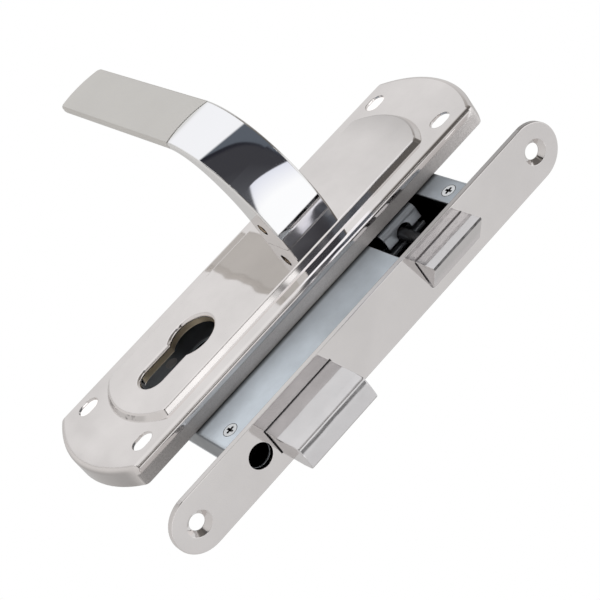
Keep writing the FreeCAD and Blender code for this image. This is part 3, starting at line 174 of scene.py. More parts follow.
# mask of edges, broken up by noise, for rubbed wear and a painted highlight (painted shade where the edge
# colour is dark), with the softened normal
def buildEdgeGroup():
    group, start, end = newGroup(
        "rubbedEdgeAndHighlight",
        [("Vector", "NodeSocketVector", None), ("Gain", "NodeSocketFloat", 6.0),
         ("Round", "NodeSocketFloat", 0.00035)],
        [("Mask", "NodeSocketFloat"), ("Normal", "NodeSocketVector")])
    links = group.links
    bevel = addNode(group, "ShaderNodeBevel", samples=groupLook["samples"])
    links.new(start.outputs["Round"], bevel.inputs["Radius"])
    geometry = addNode(group, "ShaderNodeNewGeometry")
    facing = addNode(group, "ShaderNodeVectorMath", operation="DOT_PRODUCT")
    links.new(bevel.outputs[0], facing.inputs[0])
    links.new(geometry.outputs["Normal"], facing.inputs[1])
    turned = addInverse(group, facing.outputs["Value"])
    noise = addNoise(group, start.outputs["Vector"], groupLook["edgeNoise"])
    broken = addProduct(group, turned, start.outputs["Gain"], addRange(group, noise, *groupLook["edgeBreak"]))
    mask = addMath(group, "MINIMUM", addMath(group, "MAXIMUM", broken, 0.0), 1.0)
    links.new(mask, end.inputs["Mask"])
    links.new(bevel.outputs[0], end.inputs["Normal"])
    return group


# mask of what lies deeper inside a box than its skin
def buildInsideGroup():
    group, start, end = newGroup(
        "insideBox",
        [("Vector", "NodeSocketVector", None), ("Low", "NodeSocketVector", None),
         ("High", "NodeSocketVector", None)],
        [("Mask", "NodeSocketFloat")])
    links = group.links
    above = addNode(group, "ShaderNodeVectorMath", operation="SUBTRACT")
    links.new(start.outputs["Vector"], above.inputs[0])
    links.new(start.outputs["Low"], above.inputs[1])
    below = addNode(group, "ShaderNodeVectorMath", operation="SUBTRACT")
    links.new(start.outputs["High"], below.inputs[0])
    links.new(start.outputs["Vector"], below.inputs[1])
    nearest = addNode(group, "ShaderNodeVectorMath", operation="MINIMUM")
    links.new(above.outputs[0], nearest.inputs[0])
    links.new(below.outputs[0], nearest.inputs[1])
    axes = addNode(group, "ShaderNodeSeparateXYZ")
    links.new(nearest.outputs[0], axes.inputs[0])
    least = addMath(group, "MINIMUM", addMath(group, "MINIMUM", axes.outputs["X"], axes.outputs["Y"]),
                    axes.outputs["Z"])
    links.new(addStep(group, least, *groupLook["skinDepths"]), end.inputs["Mask"])
    return group


# mask of narrow gaps and recesses, for painted shade where they are closed in
def buildCreviceGroup():
    group, start, end = newGroup(
        "creviceShade", [("Reach", "NodeSocketFloat", 0.0008), ("Gain", "NodeSocketFloat", 1.0)],
        [("Mask", "NodeSocketFloat")])
    hidden = addNode(group, "ShaderNodeAmbientOcclusion", samples=groupLook["samples"])
    group.links.new(start.outputs["Reach"], hidden.inputs["Distance"])
    closed = addStep(group, hidden.outputs["AO"], *groupLook["openness"])
    group.links.new(addProduct(group, closed, start.outputs["Gain"]), end.inputs["Mask"])
    return group


polishGroup = buildPolishGroup()
creviceGroup = buildCreviceGroup()
edgeGroup = buildEdgeGroup()
insideGroup = buildInsideGroup()
print("node groups built")


def addGroup(tree, group, vector=None, **settings):
    node = tree.nodes.new("ShaderNodeGroup")
    node.node_tree = group
    if vector is not None:
        tree.links.new(vector, node.inputs["Vector"])
    for name, value in settings.items():
        node.inputs[name].default_value = value
    return node


# where the pieces lie, for what is shaded by place
caseBox = [Vector(corner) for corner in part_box("case_tray")]
coverBox = [Vector(corner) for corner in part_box("case_cover")]
plateBox = [Vector(corner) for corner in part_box("escutcheon_plate")]
forendBox = [Vector(corner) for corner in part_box("forend")]
latchBox = [Vector(corner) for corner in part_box("latch_bolt")]

wallLook = {"facing": (0.25, 0.60)}   # how far a normal leans along the axis before it is no wall


# 1 on walls that stand along an axis, 0 on faces across it
def addWallMask(tree, axis):
    normal = addNode(tree, "ShaderNodeSeparateXYZ")
    tree.links.new(addNode(tree, "ShaderNodeNewGeometry").outputs["Normal"], normal.inputs[0])
    lean = addMath(tree, "ABSOLUTE", normal.outputs[axis])
    return addInverse(tree, addStep(tree, lean, *wallLook["facing"]))


# tone along the height of a piece, as a ramp from its low end to its high end
def addTones(tree, height, box, stops):
    share = addMath(tree, "DIVIDE", addMath(tree, "SUBTRACT", height, box[0].z), box[1].z - box[0].z)
    return addRamp(tree, share, stops)


# plate: grained satin skirt with painted shade along it and a painted highlight as its upper line, painted
# shade at the dome's upper end and on the low rim, painted reflection as dark streaks on the low slope,
# brownish painted reflection in the cylinder hole
plateShade = {
    "skirtSide": (-0.0012, -0.0006),   # from the side towards the forend
    "skirtTones": [(0.0, 0.55), (0.12, 0.44), (0.26, 0.50), (0.40, 0.66), (0.50, 0.74), (0.62, 0.62),
                   (0.70, 0.38), (0.80, 0.58), (0.94, 0.88), (1.0, 0.80)],
    "gritScale": 2200.0, "gritRange": (0.78, 1.22),
    "highlightDepths": (0.0060, 0.0048), "highlightLevel": 0.98,   # depths are from the top of the dome
    "domeDepths": (0.0006, 0.0002), "domeHeights": (0.058, 0.080), "domeShade": 0.28,
    "rimDepths": (0.0022, 0.0034), "rimHeights": (0.0100, 0.0060), "rimShade": 0.38,   # from the low end
    "slopeDepths": (0.0004, 0.0019), "slopeSoft": 0.0002,
    "slopeHeights": (-0.0600, -0.0640), "slopeSide": (-0.0400, -0.0425),
    "reflectionScale": 260.0, "reflectionEdge": (0.52, 0.62), "reflectionShade": (0.20, 0.62),
    "holeAcross": (-0.0645, -0.0445), "holeUpward": (-0.0590, -0.0265), "holeSoft": 0.0003,
    "holeDepths": (0.0009, 0.0016),
    "skirtRough": 0.42, "holeRough": 0.36, "skirtSatin": 0.5,
}


def shadePlate(tree, place, axes):
    look = plateShade
    low, high = plateBox
    across, depth, height = (axes.outputs[axis] for axis in "XYZ")
    outer = addStepFrom(tree, across, high.x, look["skirtSide"])
    skirt = addProduct(tree, addWallMask(tree, "Y"), outer)
    grit = addRange(tree, addNoise(tree, place, look["gritScale"]), *look["gritRange"])
    # painted shade along the skirt's height, over real grain
    gritty = addProduct(tree, addTones(tree, height, plateBox, look["skirtTones"]), grit)
    # painted highlight along the skirt's upper line
    skirtHighlight = addStepFrom(tree, depth, low.y, look["highlightDepths"])
    lit = addMath(tree, "MAXIMUM", gritty, addProduct(tree, skirtHighlight, look["highlightLevel"]))
    skirtShade = addProduct(tree, skirt, addInverse(tree, lit))
    # painted shade at the dome's upper end
    domeShade = addProduct(tree, addStepFrom(tree, depth, low.y, look["domeDepths"]),
                           addStep(tree, height, *look["domeHeights"]), look["domeShade"])
    # painted shade on the low rim, which faces down
    rimShade = addProduct(tree, addStepFrom(tree, depth, low.y, look["rimDepths"]),
                          addStepFrom(tree, height, low.z, look["rimHeights"]),
                          addInverse(tree, skirt), look["rimShade"])
    # painted reflection: dark marks on the low slope of the dome
    top, foot = (low.y + bound for bound in look["slopeDepths"])
    slope = addProduct(tree, addBand(tree, depth, top, foot, look["slopeSoft"]),
                       addStep(tree, height, *look["slopeHeights"]),
                       addStep(tree, across, *look["slopeSide"]))
    reflectionMarks = addStep(tree, addNoise(tree, place, look["reflectionScale"]), *look["reflectionEdge"])
    slopeShade = addProduct(tree, slope, addRange(tree, reflectionMarks, *look["reflectionShade"]))
    shaded = addSum(tree, skirtShade, domeShade, rimShade, slopeShade)
    # painted warm reflection on the wall of the cylinder hole, which is also rougher
    hole = addProduct(tree, addBand(tree, across, *look["holeAcross"], look["holeSoft"]),
                      addBand(tree, height, *look["holeUpward"], look["holeSoft"]),
                      addStepFrom(tree, depth, low.y, look["holeDepths"]))
    dull = addMath(tree, "SUBTRACT", skirt, addProduct(tree, skirtHighlight, skirt))
    rough = addSum(tree, addProduct(tree, dull, look["skirtRough"]),
                   addProduct(tree, hole, look["holeRough"]))
    return {"unshaded": addInverse(tree, shaded), "rough": rough, "warmReflection": hole,
            "satin": addProduct(tree, dull, look["skirtSatin"])}


# edges of the forend: painted reflection, brighter below, greyer above
forendShade = {"edgeTones": [(0.0, 0.95), (0.45, 0.95), (0.62, 0.62), (1.0, 0.55)]}


def shadeForend(tree, place, axes):
    tones = addTones(tree, axes.outputs["Z"], forendBox, forendShade["edgeTones"])
    edge = addProduct(tree, addWallMask(tree, "X"), addInverse(tree, tones))
    return {"unshaded": addInverse(tree, edge)}


# case: painted shade inside, near black on the walls and partial on the works; the tray also has a painted
# contact shadow along the plate's skirt, painted shade below the plate and on its low end, and is darker
# upwards (painted)
caseShade = {
    "wallShade": 0.995, "worksShade": 0.40,
    "faceDepths": (0.0008, 0.0004),   # from the tray's face
    "clearOf": (0.0002, 0.0032), "under": (-0.0010, -0.0060),   # from the edge of the skirt
    # painted contact shadow along the skirt and painted shade under the plate, lighter low down
    "lowerHeights": (-0.038, -0.050), "skirtShadow": 0.84, "lowerLift": 0.36,
    "endHeights": (0.0006, 0.0002), "endShade": 0.74,   # from the low end
    "tones": [(0.0, 1.0), (0.25, 0.90), (0.45, 0.75), (0.70, 0.67), (1.0, 0.60)],
}


# 0 where painted shade darkens what lies between the tray's face and the cover's
def addInsideShade(tree, place, share):
    inside = addGroup(tree, insideGroup, place, Low=caseBox[0],
                      High=(caseBox[1].x, coverBox[1].y, caseBox[1].z))
    return addInverse(tree, addProduct(tree, inside.outputs["Mask"], share))


def shadeInside(tree, place, axes):
    return {"unshaded": addInsideShade(tree, place, caseShade["wallShade"])}


def shadeWorks(tree, place, axes):
    return {"unshaded": addInsideShade(tree, place, caseShade["worksShade"])}


def shadeTray(tree, place, axes):
    look = caseShade
    low = caseBox[0]
    skirt = plateBox[1].x
    across, depth, height = (axes.outputs[axis] for axis in "XYZ")
    # painted contact shadow along the plate's skirt and painted shade under the plate
    beside = addInverse(tree, addStepFrom(tree, across, skirt, look["clearOf"]))
    lower = addProduct(tree, addStepFrom(tree, across, skirt, look["under"]),
                       addStep(tree, height, *look["lowerHeights"]))
    strength = addMath(tree, "SUBTRACT", look["skirtShadow"], addProduct(tree, lower, look["lowerLift"]))
    skirtShadow = addProduct(tree, addStepFrom(tree, depth, low.y, look["faceDepths"]), beside, strength)
    # painted shade on the low end, which faces down
    lowEnd = addProduct(tree, addStepFrom(tree, height, low.z, look["endHeights"]), look["endShade"])
    shadowed = addMath(tree, "MAXIMUM", skirtShadow, lowEnd)
    # painted shade: the tray darker upwards
    tones = addTones(tree, height, caseBox, look["tones"])
    # painted shade inside the case
    inner = addInsideShade(tree, place, look["wallShade"])
    return {"unshaded": addProduct(tree, inner, tones, addInverse(tree, shadowed))}


# latch bolt: painted shade as a narrow dark front edge, broken up, and along the foot of the bevel
latchShade = {
    "frontDepths": (-0.00035, -0.00010), "frontRange": (0.4, 1.1),   # from the tip
    "footBand": (0.0042, 0.0056), "footSoft": 0.0004, "footSide": (-0.0050, -0.0064),
    "footShadeRange": (0.0, 0.5), "noiseScale": 700.0, "darkest": 0.96,
}


def shadeLatch(tree, place, axes):
    look = latchShade
    noise = addNoise(tree, place, look["noiseScale"])
    front = addStepFrom(tree, axes.outputs["X"], latchBox[1].x, look["frontDepths"])
    broken = addProduct(tree, front, addRange(tree, noise, *look["frontRange"]))
    foot = addProduct(tree, addBand(tree, axes.outputs["X"], *look["footBand"], look["footSoft"]),
                      addStep(tree, axes.outputs["Y"], *look["footSide"]))
    footShade = addProduct(tree, foot, addRange(tree, noise, *look["footShadeRange"]))
    dark = addMath(tree, "MINIMUM", addSum(tree, broken, footShade), look["darkest"])
    return {"unshaded": addInverse(tree, dark)}


# metal finishes: bumps are heights in metres, round is the radius that the light sees on edges
finishes = {
    "platePolish": {"color": (0.935, 0.898, 0.885), "edgeColor": (0.95, 0.92, 0.91), "rough": (0.035, 0.08),
                    "metal": 1.0, "lineScale": (5000, 5000, 90), "lineBump": 5e-7, "rippleBump": 2.25e-4,
                    "rippleScale": 60.0, "patchScale": 22.0, "edgeGain": 2.0, "round": 0.0005,
                    "dullShare": 0.84},
    "forendPolish": {"color": (0.82, 0.79, 0.78), "edgeColor": (0.90, 0.88, 0.87), "rough": (0.05, 0.10),
                     "metal": 1.0, "lineScale": (5000, 4000, 60), "lineBump": 5e-7, "rippleBump": 5e-5,
                     "rippleScale": 45.0, "patchScale": 25.0, "edgeGain": 3.0, "round": 0.0003},
    "boltNickel": {"color": (0.78, 0.765, 0.775), "edgeColor": (0.92, 0.91, 0.91), "rough": (0.06, 0.12),
                   "metal": 0.9, "lineScale": (300, 5000, 5000), "lineBump": 5e-7, "rippleBump": 7e-5,
                   "rippleScale": 120.0, "patchScale": 80.0, "edgeGain": 6.0, "round": 0.0004},
    "zincPlate": {"color": (0.66, 0.71, 0.77), "edgeColor": (0.80, 0.83, 0.86), "rough": (0.26, 0.42),
                  "metal": 0.55, "lineScale": (2500, 2500, 2500), "lineBump": 6e-6, "rippleBump": 5e-5,
                  "rippleScale": 90.0, "patchScale": 160.0, "edgeGain": 5.0, "round": 0.00035,
                  "crevice": 0.0012},
    # the screws' dark edge colour is painted shade round their rim and recess
    "screwZinc": {"color": (0.78, 0.80, 0.82), "edgeColor": (0.06, 0.06, 0.065), "rough": (0.14, 0.24),
                  "metal": 0.7, "lineScale": (2500, 2500, 2500), "lineBump": 4e-6, "rippleBump": 5e-5,
                  "rippleScale": 300.0, "patchScale": 260.0, "edgeGain": 6.0, "round": 0.00035,
                  "crevice": 0.0016},
    "plainSteel": {"color": (0.52, 0.52, 0.52), "edgeColor": (0.70, 0.70, 0.70), "rough": (0.28, 0.40),
                   "metal": 0.9, "lineScale": (2500, 2500, 2500), "lineBump": 3e-6, "rippleBump": 3e-5,
                   "rippleScale": 200.0, "patchScale": 150.0, "edgeGain": 4.0, "round": 0.00035},
    "blackenedSteel": {"color": (0.10, 0.10, 0.105), "edgeColor": (0.40, 0.40, 0.41), "rough": (0.22, 0.34),
                       "metal": 0.9, "lineScale": (5000, 900, 900), "lineBump": 4e-6, "rippleBump": 4e-5,
                       "rippleScale": 200.0, "patchScale": 150.0, "edgeGain": 5.0, "round": 0.00035},
    "dieCast": {"color": (0.48, 0.49, 0.51), "edgeColor": (0.66, 0.67, 0.69), "rough": (0.38, 0.52),
                "metal": 0.9, "lineScale": (3000, 3000, 3000), "lineBump": 5e-6, "rippleBump": 4e-5,
                "rippleScale": 150.0, "patchScale": 120.0, "edgeGain": 4.0, "round": 0.00035},
    "plainBrass": {"color": (0.55, 0.42, 0.30), "edgeColor": (0.80, 0.66, 0.48), "rough": (0.22, 0.34),
                   "metal": 0.9, "lineScale": (3000, 3000, 3000), "lineBump": 3e-6, "rippleBump": 3e-5,
                   "rippleScale": 200.0, "patchScale": 200.0, "edgeGain": 5.0, "round": 0.00035},
}
finishes["trayZinc"] = dict(finishes["zincPlate"], color=(0.84, 0.92, 1.0), patchScale=60.0, dullShare=0.78)
# colours: near black for painted shade, brownish for a painted warm reflection
metalLook = {"dullShare": 0.90, "patchRange": (-0.6, 1.6), "fineRough": (-0.03, 0.03),
             "paintedShade": (0.004, 0.0035, 0.003, 1), "warmReflection": (0.80, 0.68, 0.50, 1)}


# a shade function gives masks: where painted shade falls (0 there), added roughness, a painted brownish
# reflection and a less metallic satin
def metalFinish(name, settings, shade=None):
    material = bpy.data.materials.new(name)
    material.use_nodes = True
    tree = material.node_tree
    shader = tree.nodes["Principled BSDF"]
    shader.inputs["Metallic"].default_value = settings["metal"]
    place = addNode(tree, "ShaderNodeTexCoord").outputs["Object"]
    axes = addNode(tree, "ShaderNodeSeparateXYZ")
    tree.links.new(place, axes.inputs[0])
    grain = addGroup(tree, polishGroup, place, **{"Line Scale": settings["lineScale"],
                                                 "Ripple Scale": settings["rippleScale"],
                                                 "Patch Scale": settings["patchScale"]})
    edge = addGroup(tree, edgeGroup, place, Gain=settings["edgeGain"], Round=settings["round"])
    dullShare = settings.get("dullShare", metalLook["dullShare"])
    dull = tuple(part * dullShare for part in settings["color"]) + (1,)
    patches = addRange(tree, grain.outputs["Patches"], *metalLook["patchRange"])
    patchy = addMix(tree, patches, settings["color"] + (1,), dull)
    # edges lighter from rubbed wear and a painted highlight, darker as painted shade where the edge colour is
    # dark
    tone = addMix(tree, edge.outputs["Mask"], patchy, settings["edgeColor"] + (1,))
    masks = shade(tree, place, axes) if shade else {}
    unshaded = masks.get("unshaded")
    if "crevice" in settings:
        # painted shade in gaps and recesses
        hollowShade = addGroup(tree, creviceGroup, Reach=settings["crevice"])
        free = addInverse(tree, hollowShade.outputs["Mask"])
        unshaded = free if unshaded is None else addProduct(tree, unshaded, free)
    if "warmReflection" in masks:
        # painted warm reflection, brownish
        tone = addMix(tree, masks["warmReflection"], tone, metalLook["warmReflection"])
    if unshaded is not None:
        # painted shade: the colour goes to near black where the mask is 0
        tone = addMix(tree, unshaded, metalLook["paintedShade"], tone)
        bare = addProduct(tree, unshaded, 1.0 - settings["metal"])
        if "satin" in masks:
            bare = addSum(tree, bare, masks["satin"])
        tree.links.new(addInverse(tree, bare), shader.inputs["Metallic"])
    tree.links.new(tone, shader.inputs["Base Color"])
    rough = addRange(tree, grain.outputs["Patches"], *settings["rough"])
    if "rough" in masks:
        rough = addSum(tree, rough, masks["rough"])
    fine = addRange(tree, grain.outputs["Lines"], *metalLook["fineRough"])
    tree.links.new(addSum(tree, rough, fine), shader.inputs["Roughness"])
    ripple = addNode(tree, "ShaderNodeBump", Strength=1.0, Distance=settings["rippleBump"])
    tree.links.new(grain.outputs["Ripple"], ripple.inputs["Height"])
    tree.links.new(edge.outputs["Normal"], ripple.inputs["Normal"])
    lines = addNode(tree, "ShaderNodeBump", Strength=1.0, Distance=settings["lineBump"])
    tree.links.new(grain.outputs["Lines"], lines.inputs["Height"])
    tree.links.new(ripple.outputs[0], lines.inputs["Normal"])
    tree.links.new(lines.outputs[0], shader.inputs["Normal"])
    return material


finishMaterials = {
    "platePolish": metalFinish("platePolish", finishes["platePolish"], shadePlate),
    "forendPolish": metalFinish("forendPolish", finishes["forendPolish"], shadeForend),
    "trayZinc": metalFinish("trayZinc", finishes["trayZinc"], shadeTray),
    "insideZinc": metalFinish("insideZinc", finishes["zincPlate"], shadeInside),
    "worksZinc": metalFinish("worksZinc", finishes["zincPlate"], shadeWorks),
    "latchNickel": metalFinish("latchNickel", finishes["boltNickel"], shadeLatch),
}
for name in ("boltNickel", "zincPlate", "screwZinc", "plainSteel", "blackenedSteel", "dieCast", "plainBrass"):
    finishMaterials[name] = metalFinish(name, finishes[name])

leverLook = {"color": (0.86, 0.855, 0.85), "gripColor": (0.74, 0.72, 0.69), "edgeColor": (0.95, 0.95, 0.95),
             "neckRough": (0.012, 0.024), "gripRough": (0.26, 0.36), "gripDull": 0.93, "edgeGain": 5.0,
             "brushScale": (120, 4000, 5000), "brushBump": 4e-6, "rippleScale": 50.0, "patchScale": 40.0,
             "bowRadius": 0.032, "bowFront": -0.0849, "bowHeight": 0.019}   # the groove's bow


# mirror neck and satin grip, parted at the bowed groove
def leverFinish(settings):
    material = bpy.data.materials.new("leverNickel")
    material.use_nodes = True
    tree = material.node_tree
    shader = tree.nodes["Principled BSDF"]
    shader.inputs["Metallic"].default_value = 1.0
    place = addNode(tree, "ShaderNodeTexCoord").outputs["Object"]
    axes = addNode(tree, "ShaderNodeSeparateXYZ")
    tree.links.new(place, axes.inputs[0])
    across = addMath(tree, "SUBTRACT", axes.outputs["X"], settings["bowFront"] + settings["bowRadius"])
    upward = addMath(tree, "SUBTRACT", axes.outputs["Z"], settings["bowHeight"])
    squares = addSum(tree, addMath(tree, "POWER", across, 2.0), addMath(tree, "POWER", upward, 2.0))
    outside = addMath(tree, "GREATER_THAN", addMath(tree, "SQRT", squares), settings["bowRadius"])
    behind = addMath(tree, "LESS_THAN", across, 0.0)
    grip = addProduct(tree, outside, behind)
    grain = addGroup(tree, polishGroup, place, **{"Line Scale": settings["brushScale"],
                                                 "Ripple Scale": settings["rippleScale"],
                                                 "Patch Scale": settings["patchScale"]})
    edge = addGroup(tree, edgeGroup, place, Gain=settings["edgeGain"])
    satin = tuple(part * settings["gripDull"] for part in settings["gripColor"]) + (1,)
    gripTone = addMix(tree, grain.outputs["Patches"], settings["gripColor"] + (1,), satin)
    tone = addMix(tree, grip, settings["color"] + (1,), gripTone)
    # edges lighter from rubbed wear and a painted highlight
    tree.links.new(addMix(tree, edge.outputs["Mask"], tone, settings["edgeColor"] + (1,)),
                   shader.inputs["Base Color"])
    gripRough = addRange(tree, grain.outputs["Patches"], *settings["gripRough"])
    neckRough = addRange(tree, grain.outputs["Patches"], *settings["neckRough"])
    gap = addMath(tree, "SUBTRACT", gripRough, neckRough)
    tree.links.new(addSum(tree, neckRough, addProduct(tree, gap, grip)), shader.inputs["Roughness"])
    brush = addNode(tree, "ShaderNodeBump", Strength=1.0, Distance=settings["brushBump"])
    tree.links.new(addProduct(tree, grain.outputs["Lines"], grip), brush.inputs["Height"])
    tree.links.new(edge.outputs["Normal"], brush.inputs["Normal"])
    tree.links.new(brush.outputs[0], shader.inputs["Normal"])
    return material


finishMaterials["leverNickel"] = leverFinish(leverLook)

nodeFinishes = {
    "platePolish": ["escutcheon_plate"],
    "forendPolish": ["forend"],
    "leverNickel": ["lever_handle"],
    "latchNickel": ["latch_bolt"],
    "boltNickel": ["deadbolt_head", "deadbolt_rivets"],
    "trayZinc": ["case_tray"],
    "insideZinc": ["case_cover", "fixing_blocks"],
    "screwZinc": ["case_screws"],
    "worksZinc": ["latch_guide", "latch_crosshead", "deadbolt_tail"],
    "zincPlate": ["square_spindle"],
    "plainSteel": ["rear_pillars", "case_studs", "latch_spring", "follower_spring", "deadbolt_spring",
                   "lever_washer", "retaining_ring"],
    "blackenedSteel": ["latch_tail"],
    "dieCast": ["follower"],
    "plainBrass": ["neck_bush", "grub_screw"],
}
for finish, members in nodeFinishes.items():
    for member in members:
        piece = nodes[member]
        for slot in range(max(1, len(piece.material_slots))):
            if slot < len(piece.data.materials):
                piece.data.materials[slot] = finishMaterials[finish]
            else:
                piece.data.materials.append(finishMaterials[finish])
print("finishes on", sum(len(members) for members in nodeFinishes.values()), "nodes")

# floor, world and lamp

studio = {"floorDrop": 0.30, "floorSize": 8.0, "floorColor": (0.67, 0.66, 0.65, 1), "floorRough": 0.8}
bpy.ops.mesh.primitive_plane_add(size=studio["floorSize"], location=(0, 0, -studio["floorDrop"]))
floor = bpy.context.active_object
floor.name = "studioFloor"
floorMaterial = bpy.data.materials.new("paleFloor")
floorMaterial.use_nodes = True
floorShader = floorMaterial.node_tree.nodes["Principled BSDF"]
floorShader.inputs["Base Color"].default_value = studio["floorColor"]
floorShader.inputs["Roughness"].default_value = studio["floorRough"]
floor.data.materials.append(floorMaterial)

# soft boxes and dark cards all round, as rings stacked by height: where a ring begins, then its levels
# by compass angle in degrees from +X
rings = [
    {"begins": None,
     "levels": [(-180, 0.66), (-150, 0.66), (-140, 0.72), (-110, 0.95), (-88, 0.90), (-78, 0.05), (-20, 0.06),
                (5, 0.20), (20, 0.55), (40, 0.72), (120, 0.70), (180, 0.66)]},
    {"begins": (0.08, 0.11),
     "levels": [(-180, 0.76), (-152, 0.76), (-140, 0.82), (-100, 0.88), (-80, 0.84), (-66, 0.78), (-57, 0.60),
                (-50, 0.16), (-24, 0.14), (-15, 0.48), (-7, 0.86), (5, 0.98), (19, 0.90), (33.5, 0.74),
                (60, 0.75), (80, 0.50), (125, 0.50), (150, 0.76), (180, 0.76)]},
    {"begins": (0.236, 0.252), "mirroredByNeck": True,
     "levels": [(-180, 0.76), (-152, 0.76), (-146, 0.78), (-140, (1.02, 1.03, 1.07, 1)),
                (-96, (1.03, 1.04, 1.08, 1)), (20, 1.0), (33.5, 0.72), (60, 0.75), (95, 0.52), (125, 0.52),
                (150, 0.76), (180, 0.76)]},
    {"begins": (0.292, 0.299),
     "levels": [(-180, 0.76), (-152, 0.76), (-112, 0.77), (-98, 0.66), (-86, 0.44), (-74, 0.17), (-64, 0.11),
                (-26, 0.11), (-18, 0.26), (-8, 0.60), (2, 0.88), (18, 0.85), (33.5, 0.72), (60, 0.75),
                (95, 0.52), (125, 0.52), (150, 0.76), (180, 0.76)]},
    {"begins": (0.40, 0.45),
     "levels": [(-180, 0.64), (-150, 0.62), (-138, 0.40), (-100, 0.20), (-60, 0.12), (-42, 0.16), (-30, 0.60),
                (-18, 1.05), (12, 1.0), (30, 0.80), (110, 0.80), (135, 0.50), (160, 0.60), (180, 0.64)]},
]
# narrow cards: compass angles, heights, level
cards = [
    {"compass": (-44.6, -40.6), "rise": (0.10, 0.238), "level": 1.10},
    {"compass": (-39.0, -36.8), "rise": (0.16, 0.240), "level": 0.78},
    {"compass": (-36.8, -34.6), "rise": (0.16, 0.240), "level": 0.68},
    {"compass": (-39.0, -34.6), "rise": (0.297, 0.350), "level": 1.0},
    {"compass": (21.8, 26.5), "rise": (0.150, 0.245), "level": 0.10},
    {"compass": (27.0, 34.0), "rise": (-0.20, 0.140), "level": 1.40},
    {"compass": (27.0, 34.0), "rise": (0.322, 0.450), "level": 1.35},
]
worldLook = {"brownTint": (1.06, 1.0, 0.94, 1), "tintLevels": (0.75, 0.20),   # dim places are browner
             "cardSoft": (0.4, 0.004), "roomTone": (0.82, 0.82, 0.82, 1), "backdropTone": (1, 1, 1, 1)}
# what the neck of the lever mirrors: angles in degrees, heights as the upward part of the direction
neckLook = {
    "bandLow": 0.2553, "bandHeight": 0.0337,
    "slateStart": -90.0, "slateLean": 9.0, "slateSoft": 1.6, "slateTone": (0.112, 0.128, 0.155, 1),
    "archStart": -91.0, "archLean": 26.0, "archDrop": 34.0, "archPower": 6.0, "archSoft": 1.2,
    "cardWidth": 60.0, "lineEnd": 0.05, "darkFrom": 0.12, "darkTo": 0.55,   # shares of the card's width
    "lineTone": (0.022, 0.022, 0.030, 1), "darkTone": (0.050, 0.050, 0.058, 1),
    "greyTone": (0.095, 0.098, 0.110, 1),
    "panelLeft": -31.0, "panelEnd": 19.0, "panelFade": 3.0, "panelSoft": (-0.5, 0.7),
    "panelRise": 0.268, "panelLean": 8.5, "leanPower": 1.5,
    "panelLow": 0.2545, "panelSag": 0.0105, "sagPower": 2.2, "sagSoft": (-0.0004, 0.0006),
    "panelTintWidth": 20.0, "lavenderTone": (0.86, 0.88, 0.98, 1), "whiteTone": (1.13, 1.14, 1.16, 1),
}


# dark card under an arched slate border, and a white panel with a bowed low edge, as the neck shows them
def addNeckBand(tree, angle, rise, ring, look):
    share = addMath(tree, "DIVIDE", addMath(tree, "SUBTRACT", rise, look["bandLow"]), look["bandHeight"])
    slateFrom = addSum(tree, addProduct(tree, share, look["slateLean"]), look["slateStart"])
    archCurve = addMath(tree, "POWER", addMath(tree, "MAXIMUM", share, 0.0), look["archPower"])
    archFrom = addSum(tree, addProduct(tree, share, look["archLean"]), look["archStart"],
                      addProduct(tree, archCurve, look["archDrop"]))
    past = addMath(tree, "SUBTRACT", angle, archFrom)
    cardTone = addRamp(tree, addMath(tree, "DIVIDE", past, look["cardWidth"]),
                       [(0.0, look["lineTone"]), (look["lineEnd"], look["lineTone"]),
                        (look["darkFrom"], look["darkTone"]), (look["darkTo"], look["darkTone"]),
                        (1.0, look["greyTone"])])
    onCard = addStep(tree, past, -look["archSoft"], look["archSoft"])
    card = addMix(tree, onCard, look["slateTone"], cardTone)
    ahead = addMath(tree, "SUBTRACT", angle, slateFrom)
    shown = addMix(tree, addStep(tree, ahead, -look["slateSoft"], look["slateSoft"]), ring, card)
    risen = addMath(tree, "MAXIMUM", addMath(tree, "SUBTRACT", rise, look["panelRise"]), 0.0)
    top = look["bandLow"] + look["bandHeight"] - look["panelRise"]
    leanCurve = addMath(tree, "POWER", addMath(tree, "DIVIDE", risen, top), look["leanPower"])
    panelFrom = addSum(tree, addProduct(tree, leanCurve, look["panelLean"]), look["panelLeft"])
    intoPanel = addMath(tree, "SUBTRACT", angle, panelFrom)
    reach = addMath(tree, "MAXIMUM", addMath(tree, "SUBTRACT", look["panelEnd"], angle), 0.0)
    reachShare = addMath(tree, "DIVIDE", reach, look["panelEnd"] - look["panelLeft"])
    sagCurve = addMath(tree, "POWER", reachShare, look["sagPower"])
    edgeRise = addSum(tree, addProduct(tree, sagCurve, look["panelSag"]), look["panelLow"])
    overEdge = addMath(tree, "SUBTRACT", rise, edgeRise)
    inside = addProduct(tree, addStep(tree, intoPanel, *look["panelSoft"]),
                        addStep(tree, overEdge, *look["sagSoft"]))
    panelTone = addRamp(tree, addMath(tree, "DIVIDE", intoPanel, look["panelTintWidth"]),
                        [(0.0, look["lavenderTone"]), (1.0, look["whiteTone"])])
    band = addMix(tree, inside, shown, panelTone)
    fade = addStep(tree, angle, look["panelEnd"], look["panelEnd"] + look["panelFade"])
    return addMix(tree, fade, band, ring)


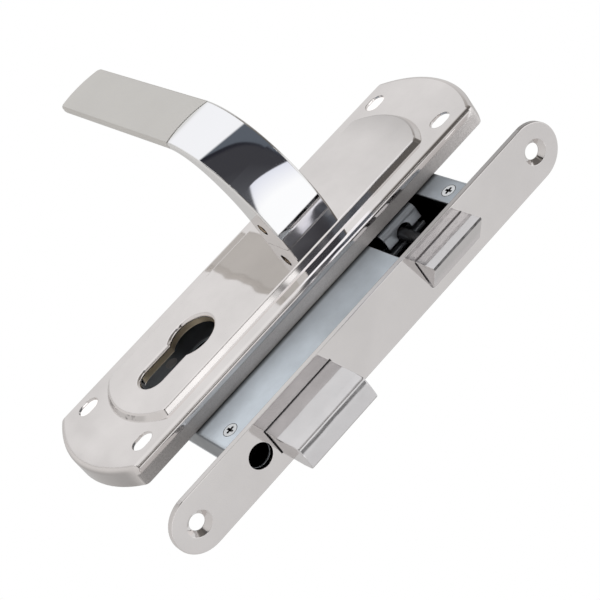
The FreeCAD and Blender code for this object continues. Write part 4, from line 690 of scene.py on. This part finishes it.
def buildWorld(look):
    world = bpy.data.worlds.new("studioWorld")
    bpy.context.scene.world = world
    world.use_nodes = True
    tree = world.node_tree
    background = tree.nodes["Background"]
    direction = addNode(tree, "ShaderNodeTexCoord").outputs["Generated"]
    axes = addNode(tree, "ShaderNodeSeparateXYZ")
    tree.links.new(direction, axes.inputs[0])
    rise = axes.outputs["Z"]
    compass = addMath(tree, "ARCTAN2", axes.outputs["Y"], axes.outputs["X"])
    angle = addProduct(tree, compass, 180 / math.pi)
    around = addSum(tree, addMath(tree, "DIVIDE", compass, 2 * math.pi), 0.5)
    shown = None
    for ring in rings:
        level = addRamp(tree, around, [((stop + 180) / 360, tone) for stop, tone in ring["levels"]])
        if "mirroredByNeck" in ring:
            level = addNeckBand(tree, angle, rise, level, neckLook)
        else:
            tinted = addNode(tree, "ShaderNodeMix", data_type="RGBA", blend_type="MULTIPLY")
            tree.links.new(addStep(tree, level, *look["tintLevels"]), tinted.inputs[0])
            tree.links.new(level, tinted.inputs[6])
            tinted.inputs[7].default_value = look["brownTint"]
            level = tinted.outputs[2]
        if ring["begins"] is None:
            shown = level
        else:
            shown = addMix(tree, addStep(tree, rise, *ring["begins"]), shown, level)
    angleSoft, riseSoft = look["cardSoft"]
    for card in cards:
        across = addBand(tree, angle, *card["compass"], angleSoft)
        upward = addBand(tree, rise, *card["rise"], riseSoft)
        tone = (card["level"],) * 3 + (1,)
        shown = addMix(tree, addProduct(tree, across, upward), shown, tone)
    path = addNode(tree, "ShaderNodeLightPath")
    plain = addMix(tree, path.outputs["Is Glossy Ray"], look["roomTone"], shown)
    white = addMix(tree, path.outputs["Is Camera Ray"], plain, look["backdropTone"])
    tree.links.new(white, background.inputs["Color"])
    background.inputs["Strength"].default_value = 1.0


buildWorld(worldLook)

keyLamp = {"place": (0.25, -0.9, 1.3), "aim": (-0.06, 0.0, 0.0), "size": 1.2, "power": 9.0}
bpy.ops.object.light_add(type="AREA", location=keyLamp["place"])
lamp = bpy.context.active_object
lamp.name = "softKey"
lamp.data.size = keyLamp["size"]
lamp.data.energy = keyLamp["power"]
lamp.visible_glossy = False
aim = Vector(keyLamp["aim"]) - Vector(keyLamp["place"])
lamp.rotation_euler = aim.to_track_quat("-Z", "Y").to_euler()
print("floor, world and lamp set")

# camera: below and in front of the forend, rolled, with a long lens
view = {"place": (0.4563, -0.3463, -0.1496), "right": (0.551, 0.513, 0.658), "down": (0.241, 0.657, -0.715),
        "lens": 105.4, "sensor": 36.0, "clip": (0.01, 20.0)}
right = Vector(view["right"]).normalized()
down = Vector(view["down"])
down = (down - right * down.dot(right)).normalized()
away = right.cross(down)
turn = Matrix((right, -down, -away)).transposed().to_4x4()
bpy.ops.object.camera_add(location=view["place"])
camera = bpy.context.active_object
camera.name = "photoCamera"
camera.matrix_world = Matrix.Translation(Vector(view["place"])) @ turn
camera.data.lens = view["lens"]
camera.data.sensor_width = view["sensor"]
camera.data.clip_start, camera.data.clip_end = view["clip"]
bpy.context.scene.camera = camera
bpy.context.scene.view_settings.view_transform = "Standard"
print("camera set")
